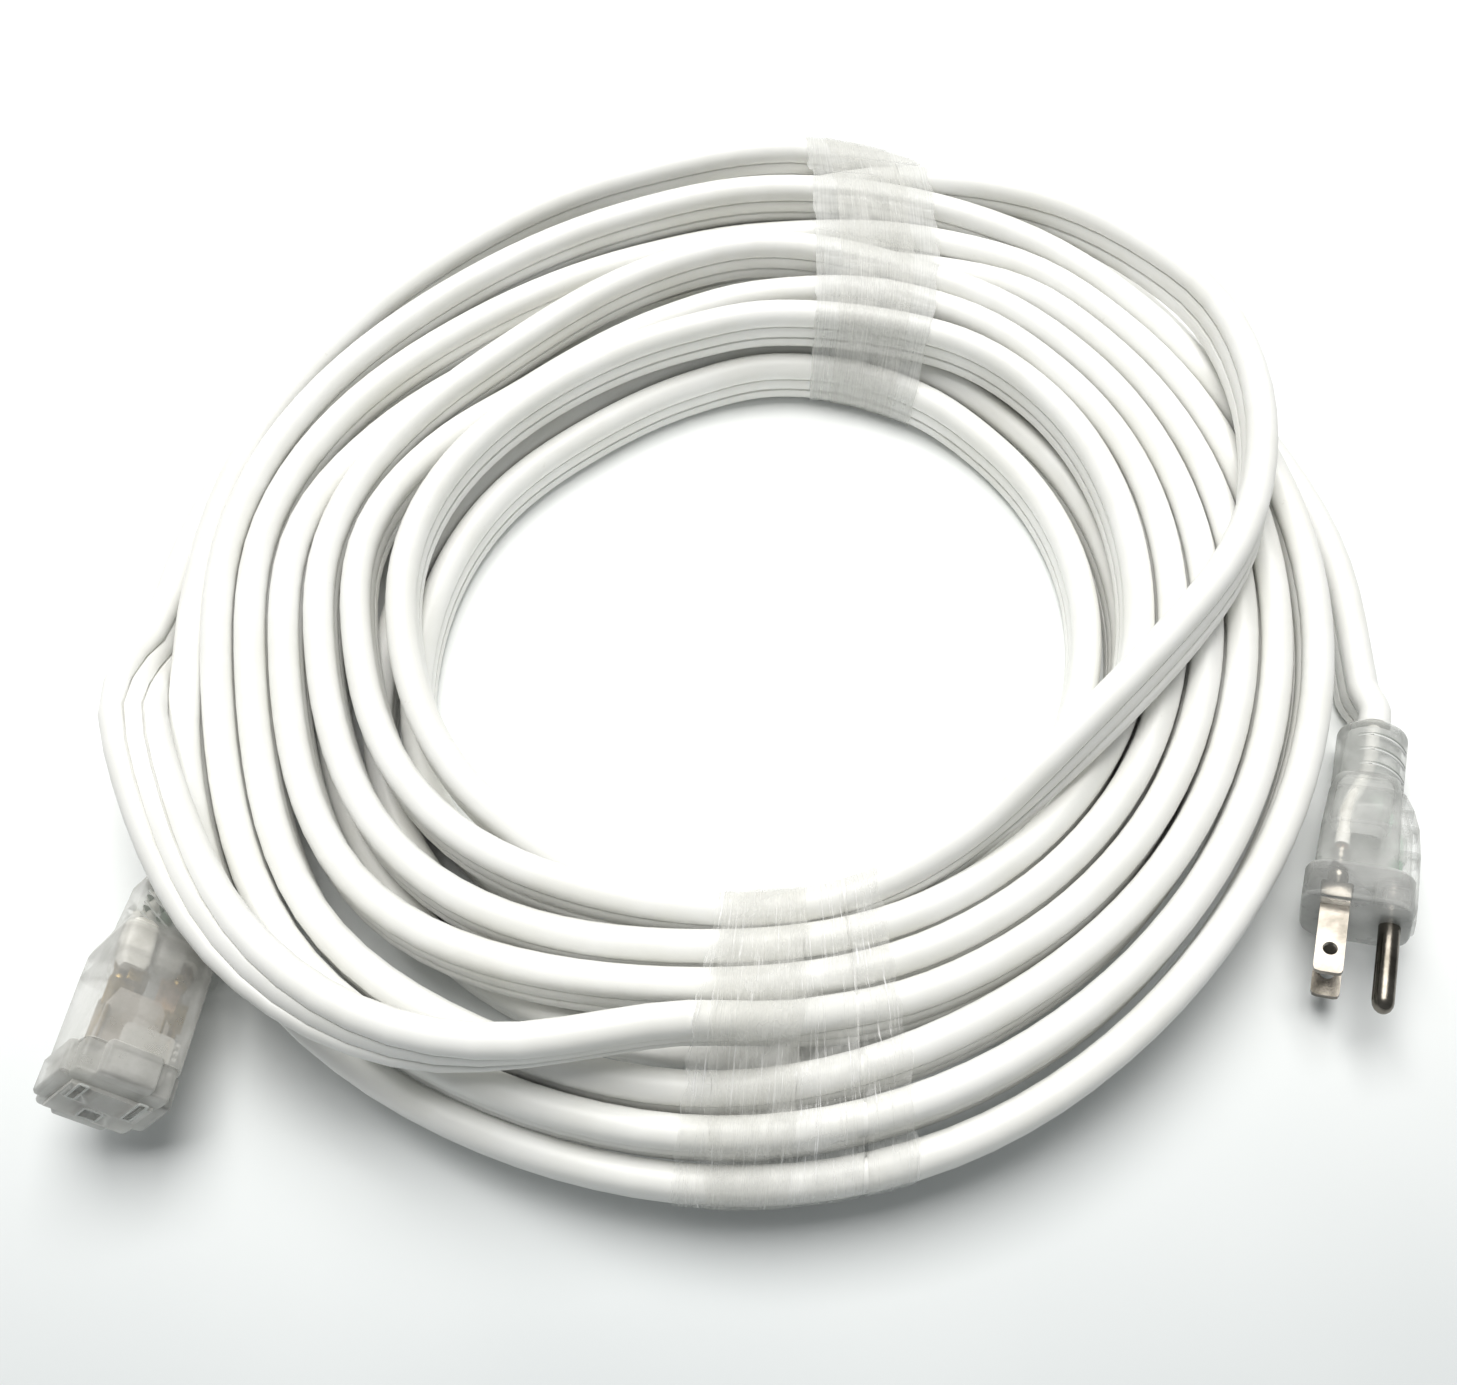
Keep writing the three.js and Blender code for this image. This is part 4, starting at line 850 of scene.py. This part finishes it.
class CORD_OT_plug(bpy.types.Operator):
    """Build the clear moulded plug with its blades, its pin and its cores"""

    bl_idname = "cord.plug"
    bl_label = "Plug"

    def execute(self, context):
        matrix = placing(PLUG_AT, PLUG_TURN)
        c = PLUG_AXIS_Z
        rear = -PLUG_LENGTH
        shellish = clear_material("frosted clear PVC overmould", "#e2e4e0", "#f3f4f1", 0.28, 0.22, 0.6)
        inner = clear_material("milky clear PVC core", "#e4e6e2", "#f5f6f3", 0.42, 0.36, 0.68)
        # The lip material is lighter and far denser than the shell, a painted highlight on the grip lips; the groove
        # material is darker, painted shade.
        lip = clear_material("polished PVC edge with painted highlight", "#eceeec", "#fafbfa", 0.22, 0.72, 0.9)
        groove = clear_material("shaded PVC groove", "#8f958f", "#a9aea8", 0.5, 0.5, 0.75)
        nickel, copper = nickel_material(), copper_material()
        white = sleeve_material()
        green = solid_material("green PVC insulation", "#0b7a4a", "#2fa576", 0.45)

        bm = bmesh.new()
        radii = [(rear, 7.4), (rear + 0.5, 7.95), (rear + 1.2, 8.15)]
        radii += [(rear + 15.6, 8.1), (rear + 16.2, 7.9), (rear + 16.8, 7.3)]
        tube(bm, [(0, y, c) for y, _ in radii], [r for _, r in radii], 48)
        lofted(
            bm,
            (
                (rear + 15.5, -7.2, 7.2, -3.0, 11.4), (rear + 20, -8.4, 8.4, -4.2, 12.0),
                (-22, -9.1, 9.1, -5.0, 12.2), (-10.6, -9.4, 9.4, -5.4, 12.6), (-9.4, -10.9, 10.9, -6.8, 15.8),
                (-8.6, -11.3, 11.3, -7.2, 16.3), (-1.2, -11.4, 11.4, -7.3, 16.5), (-0.3, -11.0, 11.0, -6.9, 16.1),
                (0.0, -10.4, 10.4, -6.3, 15.5),
            ),
            0.24, 6,
        )
        lofted(
            bm,
            (
                (-36.5, -2.6, 2.6, 8.6, 11.2), (-34, -3.6, 3.6, 8.4, 13.0), (-30, -4.2, 4.2, 8.0, 14.9),
                (-25, -4.5, 4.5, 8.0, 16.3), (-18, -4.6, 4.6, 8.0, 17.0), (-5, -4.6, 4.6, 8.0, 17.2),
                (-0.6, -4.5, 4.5, 8.2, 17.1),
            ),
            0.2, 5,
        )
        finish_piece(bm, "plug overmould", shellish, 38, matrix, ("plug_overmould",))

        # Each grip groove is a thin dark tube of painted shade, with a lighter lip of painted highlight just ahead of
        # it.
        for name, material, ahead, radius in (("grooves", groove, 0.0, 0.3), ("lips", lip, 0.62, 0.34)):
            bm = bmesh.new()
            for k in range(3):
                y = rear + 4.2 + 4.2 * k + ahead
                arc = []
                for i in range(21):
                    a = math.radians(-24 + 4 * k + (100 - 4 * k) * i / 20)
                    arc.append((8.0 * math.cos(a), y + 1.6 * math.sin(a) ** 2, c + 8.0 * math.sin(a)))
                tube(bm, arc, [0.06 + (radius - 0.06) * min(1.0, i / 14) for i in range(20)] + [0.1], 8)
            finish_piece(bm, "plug grip " + name, material, 60, matrix, ())

        bm = bmesh.new()
        tube(bm, [(0, y, c) for y in (rear + 1.2, rear + 1.8, rear + 15.0, rear + 15.6)], [6.2, 6.9, 6.9, 6.4], 32)
        lofted(
            bm,
            (
                (rear + 15.8, -6.0, 6.0, -1.6, 9.6), (rear + 18, -6.9, 6.9, -2.4, 10.2), (rear + 24, -7.4, 7.4, -3.0, 9.8),
                (-20.5, -7.6, 7.6, -3.2, 9.0), (-19.4, -7.2, 7.2, -2.8, 8.4),
            ),
            0.22, 5,
        )
        finish_piece(bm, "plug milky core", inner, 38, matrix, ())

        bm = bmesh.new()
        lofted(
            bm, ((-31, -2.4, 2.4, 10.6, 13.2), (-24, -3.2, 3.2, 10.2, 15.0), (-3, -3.4, 3.4, 10.0, 15.8)), 0.3, 5,
        )
        finish_piece(bm, "plug fin panel", shellish, 38, matrix, ())

        for x, spread, name in ((BLADE_OFFSET, CORE_PITCH, "line"), (-BLADE_OFFSET, -CORE_PITCH, "neutral")):
            bm = blade_piece(bmesh.new(), x, 0)
            barrel(bm, x, 0, -14.2, -5.4, 2.2)
            block(bm, x - 1.5, x + 1.5, -5.8, -1.6, -3.5, 3.5, 0.5)
            finish_piece(bm, name + " blade", nickel, 35, matrix, (name + "_blade",))
            way = core_way(PLUG_LENGTH, c, spread, x, 0, 16.2)
            bm = tube(bmesh.new(), way, 1.65, 16)
            finish_piece(bm, "plug " + name + " core", white, 50, matrix, ("plug_" + name + "_core",))
            bm = strand_bundle(bmesh.new(), way[-1] + Vector((0, 0.3, 0)), (x, -14.4, 0), 1.15)
            finish_piece(
                bm, "plug " + name + " strands", copper, 60, matrix, ("plug_" + name + "_strands",),
            )
        z = GROUND_OFFSET
        bm = tube(
            bmesh.new(),
            [(0, y, z) for y in (-1.6, -1.2, -0.9, 18.6, 19.6, 20.5, 21.1, 21.4)],
            [1.9, 2.3, 2.38, 2.38, 2.2, 1.75, 1.1, 0.45], 28,
        )
        barrel(bm, 0, z, -11.6, -1.4, 2.3)
        finish_piece(bm, "ground pin", nickel, 40, matrix, ("ground_pin",))
        way = core_way(PLUG_LENGTH, c, 0, 0, z, 12.4)
        bm = tube(bmesh.new(), way, 1.7, 16)
        finish_piece(bm, "plug ground core", green, 50, matrix, ("plug_ground_core",))
        sleeve = [p for p in way if p.y < -19] + [Vector((0, -17.6, z)), Vector((0, -16.8, z))]
        bm = tube(bmesh.new(), sleeve, [2.4] * (len(sleeve) - 1) + [2.1], 20)
        finish_piece(bm, "plug ground sleeve", inner, 50, matrix, ())
        bm = strand_bundle(bmesh.new(), way[-1] + Vector((0, 0.3, 0)), (0, -11.8, z), 1.15)
        finish_piece(bm, "plug ground strands", copper, 60, matrix, ("plug_ground_strands",))
        return {"FINISHED"}


class CORD_OT_connector(bpy.types.Operator):
    """Build the clear moulded connector with its contacts, its cores and its slotted face"""

    bl_idname = "cord.connector"
    bl_label = "Connector"

    def execute(self, context):
        matrix = placing(CONNECTOR_AT, CONNECTOR_TURN)
        c = CONNECTOR_AXIS_Z
        rear = -CONNECTOR_LENGTH
        shellish = clear_material("frosted clear PVC overmould", "#dadad4", "#efeeea", 0.3, 0.32, 0.64)
        inner = clear_material("milky clear PVC insert", "#e0dfd9", "#f3f2ee", 0.4, 0.38, 0.7)
        dark = clear_material("shaded PVC window", "#868c86", "#9ea49d", 0.4, 0.65, 0.85)
        # The edge material is a little lighter and denser than the shell, a faint painted highlight on the neck
        # struts and the slot rims; the window material is darker, painted shade in the neck's windows.
        lip = clear_material("polished PVC edge with painted highlight", "#dfe2de", "#f0f2ef", 0.25, 0.4, 0.7)
        haze = clear_material("brown haze over the brass", "#b0a79b", "#cfc9c0", 0.5, 0.5, 0.65)
        brass, copper, white = brass_material(), copper_material(), sleeve_material()
        green = solid_material("green PVC insulation", "#2c5f49", "#4d8a6c", 0.45)

        bm = bmesh.new()
        lofted(
            bm,
            (
                (rear, -8.3, 8.3, c - 5.0, c + 5.0), (rear + 0.8, -8.7, 8.7, c - 5.4, c + 5.4),
                (rear + 12.5, -9.2, 9.2, c - 6.0, c + 6.0), (rear + 13.6, -9.5, 9.5, c - 6.6, c + 6.6),
                (rear + 17.5, -11.0, 11.0, c - 10.6, c + 10.6), (rear + 18.8, -11.3, 11.3, c - 11.2, c + 11.2),
                (rear + 24, -11.3, 11.3, c - 11.3, c + 11.3), (-7.4, -10.9, 11.3, c - 11.2, c + 11.2),
            ),
            0.13, 4,
        )
        finish_piece(bm, "connector overmould", shellish, 32, matrix, ("connector_overmould",))

        f = 12.4
        bm = bmesh.new()
        for x, z in ((f, 0.56 * f), (0.5 * f, f), (0.84 * f, 0.84 * f)):
            lofted(
                bm,
                (
                    (-8.2, -x + 0.5, x - 0.5, c - z + 0.5, c + z - 0.5), (-7.6, -x, x, c - z, c + z),
                    (-0.9, -x, x, c - z, c + z), (-0.25, -x + 0.3, x - 0.3, c - z + 0.3, c + z - 0.3),
                    (0.0, -x + 0.8, x - 0.8, c - z + 0.8, c + z - 0.8),
                ),
                0.06, 3,
            )
        finish_piece(bm, "connector face flange", shellish, 32, matrix, ())

        bm = bmesh.new()
        struts = bmesh.new()
        for row in range(4):
            y = rear + 4.6 + 3.0 * row
            half = 5.5 + 0.045 * (y - rear)
            for face in (-1, 1):
                z = c + face * half
                for x, y1 in ((-6.9, y), (-3.6, y + 1.6)):
                    tube(bm, ((x, y1, z - 0.8 * face), (x, y1, z + 0.12 * face)), 1.05, 3)
                tube(struts, ((-8.0, y - 1.6, z), (-1.0, y + 2.6, z)), 0.34, 8)
        finish_piece(bm, "neck windows", dark, 20, matrix, ())
        finish_piece(struts, "neck struts", lip, 60, matrix, ())

        slots = ((-BLADE_OFFSET, 0.0, 1.9, 7.0), (BLADE_OFFSET, 0.0, 1.9, 8.6), (0.0, 7.7, 4.2, 4.2))
        bm = bmesh.new()
        half = (8.9, 6.9)
        bmesh.ops.create_cube(
            bm, size=1.0,
            matrix=Matrix.Translation((0, -3.6, c + 1)) @ Matrix.Diagonal((2 * half[0], 9.0, 2 * half[1], 1)),
        )
        for x, z, w, h in slots:
            for at, no in (((x - w / 2, 0, 0), (1, 0, 0)), ((x + w / 2, 0, 0), (1, 0, 0)), ((0, 0, z - h / 2), (0, 0, 1)), ((0, 0, z + h / 2), (0, 0, 1))):
                bmesh.ops.bisect_plane(
                    bm, geom=bm.verts[:] + bm.edges[:] + bm.faces[:], plane_co=at, plane_no=no, dist=1e-5,
                )
        for x, z, w, h in slots:
            inside = [
                face for face in bm.faces
                if face.normal.y > 0.9 and abs(face.calc_center_median().x - x) < w / 2
                and abs(face.calc_center_median().z - z) < h / 2 and face.calc_center_median().y > 0
            ]
            grown = bmesh.ops.extrude_face_region(bm, geom=inside)["geom"]
            bmesh.ops.translate(bm, vec=(0, -7.6, 0), verts=new_verts(grown))
        finish_piece(bm, "connector face insert", inner, 25, matrix, ("connector_face_insert",))

        for x, z, w, h in slots[:2]:
            name = "line" if x < 0 else "neutral"
            bm = bmesh.new()
            for side in (-1, 1):
                block(bm, x + side * 1.45 - 0.3, x + side * 1.45 + 0.3, -21.5, -9.4, z - h / 2 + 0.4, z + h / 2 - 0.4, 0.12)
            block(bm, x - 2.9, x + 2.9, -24.5, -17.5, z - 3.4, z - 2.8, 0.12)
            block(bm, x - 2.2, x + 2.2, -17.8, -12.5, z - 3.4, z - 2.9, 0.12)
            barrel(bm, x, z, -31.5, -23.6, 2.1)
            finish_piece(bm, name + " contact", brass, 30, matrix, (name + "_contact",))
            way = core_way(CONNECTOR_LENGTH, c, math.copysign(CORE_PITCH, x), x, z, 34.5)
            bm = tube(bmesh.new(), way[:-2] + [Vector((x, -43.5, z)), Vector((x, -42.6, z)), way[-1]], [1.7] * 6 + [2.7, 3.1], 20)
            finish_piece(
                bm, "connector " + name + " core", white, 50, matrix, ("connector_" + name + "_core",),
            )
            bm = strand_bundle(bmesh.new(), way[-1] + Vector((0, 0.2, 0)), (x, -30.2, z), 2.2, 26, 0.35)
            finish_piece(
                bm, "connector " + name + " strands", copper, 60, matrix, ("connector_" + name + "_strands",),
            )
        x, z = 0.0, 7.7
        bm = bmesh.new()
        tube(bm, [(x, y, z) for y in (-21.6, -21.0, -11, -9.8)], [1.9, 2.3, 2.3, 2.5], 20)
        barrel(bm, x, z, -33.6, -22.0, 2.05)
        finish_piece(bm, "ground contact", brass, 30, matrix, ("ground_contact",))
        way = core_way(CONNECTOR_LENGTH, c, 0, x, z, 37.2)
        bm = tube(bmesh.new(), way, 1.65, 16)
        finish_piece(bm, "connector ground core", green, 50, matrix, ("connector_ground_core",))
        bm = strand_bundle(bmesh.new(), way[-1] + Vector((0, 0.3, 0)), (x, -33.4, z), 1.15)
        finish_piece(
            bm, "connector ground strands", copper, 60, matrix, ("connector_ground_strands",),
        )

        bm = bmesh.new()
        block(bm, -3.6, 8.0, -14.5, -3.2, c - 10.2, c - 7.4, 1.2)
        for k in range(5):
            block(bm, 8.2, 9.2, -13.5 + 1.7 * k, -12.7 + 1.7 * k, c - 9.8, c - 5.4, 0.2)
        finish_piece(bm, "connector inner block", inner, 30, matrix, ())
        bm = lofted(
            bmesh.new(), ((-22.5, -6.4, 3.0, c - 6.8, c - 5.8), (-18, -8.2, 6.4, c - 7.0, c - 5.6), (-8, -8.6, 6.8, c - 7.0, c - 5.6)),
            0.1, 4,
        )
        finish_piece(bm, "connector haze panel", haze, 30, matrix, ())
        bm = bmesh.new()
        block(bm, -8.3, -7.6, -17, -7.6, c - 8.2, c - 7.2, 0.15)
        block(bm, -6.2, -2.8, -28.8, -24.6, c - 7.4, c - 6.4, 0.3)
        finish_piece(bm, "connector brass edge", brass, 30, matrix, ())
        bm = bmesh.new()
        lofted(
            bm,
            (
                (-40, -7.6, -4.6, c - 7.6, c - 5.2), (-38.6, -9.2, -3.4, c - 8.8, c - 4.6), (-34, -9.6, -3.0, c - 9.2, c - 4.4),
                (-29, -9.4, -2.6, c - 9.0, c - 4.6), (-27.4, -8.2, -3.4, c - 8.6, c - 5.4),
            ),
            0.2, 4,
        )
        finish_piece(bm, "connector white sleeve", white, 40, matrix, ())
        bm = bmesh.new()
        lofted(bm, ((-39, -0.4, 4.0, c - 7.0, c - 4.8), (-37, -1.4, 5.0, c - 7.8, c - 4.2), (-30.4, -1.0, 4.6, c - 7.6, c - 4.4)), 0.2, 4)
        finish_piece(bm, "connector milky sleeve", inner, 40, matrix, ())
        bm = bmesh.new()
        for k in range(12):
            x = 1.6 + 0.42 * k
            tube(bm, ((x, -28.5 + 0.2 * (k % 3), c - 6.6), (x + 0.1, -25, c - 6.9), (x, -21.4 - 0.3 * (k % 2), c - 6.5)), 0.17, 6)
        finish_piece(bm, "connector loose strands", copper, 60, matrix, ())
        bm = bmesh.new()
        for x, z, w, h in slots:
            for side in (-1, 1):
                block(bm, x + side * w / 2 - 0.25, x + side * w / 2 + 0.25, 0.75, 1.15, z - h / 2, z + h / 2, 0.08)
                block(bm, x - w / 2, x + w / 2, 0.75, 1.15, z + side * h / 2 - 0.25, z + side * h / 2 + 0.25, 0.08)
        finish_piece(bm, "connector slot rims", lip, 30, matrix, ())
        return {"FINISHED"}


class CORD_OT_stage(bpy.types.Operator):
    """Set the camera, the lamps and the floor"""

    bl_idname = "cord.stage"
    bl_label = "Stage"

    def execute(self, context):
        scene = context.scene
        settings = scene.cord_stage
        camera = bpy.data.cameras.new("camera")
        camera.lens = settings.lens
        camera.sensor_width = 36
        camera.clip_start = 0.01
        holder = bpy.data.objects.new("camera", camera)
        holder.location = (Vector((-12.5, -187.0, 325.0)) + RING) * MM
        holder.rotation_euler = (math.radians(90 - 63.6), 0, 0)
        scene.collection.objects.link(holder)
        scene.camera = holder
        bm = bmesh.new()
        bmesh.ops.create_grid(bm, x_segments=1, y_segments=1, size=3.0)
        mesh = bpy.data.meshes.new("floor")
        bm.to_mesh(mesh)
        bm.free()
        floor = bpy.data.objects.new("floor", mesh)
        floor.location.z = -0.0002
        scene.collection.objects.link(floor)
        # The floor's colour is painted darker toward the near side (object y below -0.02 m): painted shade for the
        # lamp's falloff, over a faint random mottle.
        material, tree, shader = new_material("white table with painted near shade")
        coords = add_node(tree, "ShaderNodeTexCoord", -1100, 0)
        cloud = add_node(tree, "ShaderNodeTexNoise", -850, 200, Scale=6.0, Detail=3.0)
        tree.links.new(coords.outputs["Object"], cloud.inputs["Vector"])
        place = add_node(tree, "ShaderNodeSeparateXYZ", -850, -60)
        tree.links.new(coords.outputs["Object"], place.inputs["Vector"])
        sway = add_node(tree, "ShaderNodeMath", -600, 60, {"operation": "MULTIPLY_ADD"}, i1=0.08)
        tree.links.new(cloud.outputs["Fac"], sway.inputs[0])
        tree.links.new(place.outputs["Y"], sway.inputs[2])
        tone = add_ramp(tree, sway.outputs[0], -350, 160, linear("#d6dadb"), linear("#f8faf9"), 0.0, 1.0)
        painted_shade_fade = add_node(tree, "ShaderNodeMapRange", -480, 160, i1=-0.16, i2=-0.02, i3=0.0, i4=1.0)
        tree.links.new(sway.outputs[0], painted_shade_fade.inputs["Value"])
        tree.links.new(painted_shade_fade.outputs["Result"], tone.inputs["Fac"])
        tree.links.new(tone.outputs["Color"], shader.inputs["Base Color"])
        shader.inputs["Roughness"].default_value = 0.6
        mesh.materials.append(material)
        for name, place, power, size, colour in (
            ("key lamp", (-0.08, 0.36, 1.1), settings.key_power, 0.8, "#fffefc"),
        ):
            lamp = bpy.data.lights.new(name, "AREA")
            lamp.energy = power
            lamp.size = size
            lamp.color = linear(colour)[:3]
            light = bpy.data.objects.new(name, lamp)
            light.location = place
            light.rotation_euler = (Vector((0, 0, 0)) - Vector(place)).to_track_quat("-Z", "Y").to_euler()
            scene.collection.objects.link(light)
        world = bpy.data.worlds.new("room")
        world.use_nodes = True
        tree = world.node_tree
        back = tree.nodes["Background"]
        back.inputs[0].default_value = linear("#f6fafb")
        paths = add_node(tree, "ShaderNodeLightPath", -700, 0)
        seen = add_node(tree, "ShaderNodeMath", -450, 0, {"operation": "MAXIMUM"})
        tree.links.new(paths.outputs["Is Camera Ray"], seen.inputs[0])
        tree.links.new(paths.outputs["Is Transmission Ray"], seen.inputs[1])
        level = add_node(tree, "ShaderNodeMapRange", -220, 0, i3=settings.room, i4=1.0)
        tree.links.new(seen.outputs[0], level.inputs["Value"])
        tree.links.new(level.outputs["Result"], back.inputs[1])
        scene.world = world
        scene.view_settings.view_transform = "Standard"
        return {"FINISHED"}


class CORD_PT_panel(bpy.types.Panel):
    bl_idname = "CORD_PT_panel"
    bl_label = "Flat extension cord"
    bl_space_type = "VIEW_3D"
    bl_region_type = "UI"
    bl_category = "Cord"

    def draw(self, context):
        column = self.layout.column()
        for group, names in (
            (context.scene.flat_cord, ("colour", "steps")),
            (context.scene.cord_tape, ("sag", "clearance")),
            (context.scene.cord_stage, ("lens", "key_power", "room")),
        ):
            for name in names:
                column.prop(group, name)
        for item in (CORD_OT_cord, CORD_OT_tape, CORD_OT_plug, CORD_OT_connector, CORD_OT_stage):
            column.operator(item.bl_idname)


CLASSES = (
    CordProperties, TapeProperties, StageProperties, CORD_OT_cord, CORD_OT_tape, CORD_OT_plug, CORD_OT_connector,
    CORD_OT_stage, CORD_PT_panel,
)


def register():
    for item in CLASSES:
        bpy.utils.register_class(item)
    bpy.types.Scene.flat_cord = bpy.props.PointerProperty(type=CordProperties)
    bpy.types.Scene.cord_tape = bpy.props.PointerProperty(type=TapeProperties)
    bpy.types.Scene.cord_stage = bpy.props.PointerProperty(type=StageProperties)


def unregister():
    del bpy.types.Scene.cord_stage
    del bpy.types.Scene.cord_tape
    del bpy.types.Scene.flat_cord
    for item in reversed(CLASSES):
        bpy.utils.unregister_class(item)


def main():
    register()
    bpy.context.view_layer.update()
    bpy.ops.cord.stage()
    bpy.ops.cord.cord()
    bpy.ops.cord.tape()
    bpy.ops.cord.plug()
    bpy.ops.cord.connector()


if __name__ == "__main__":
    main()
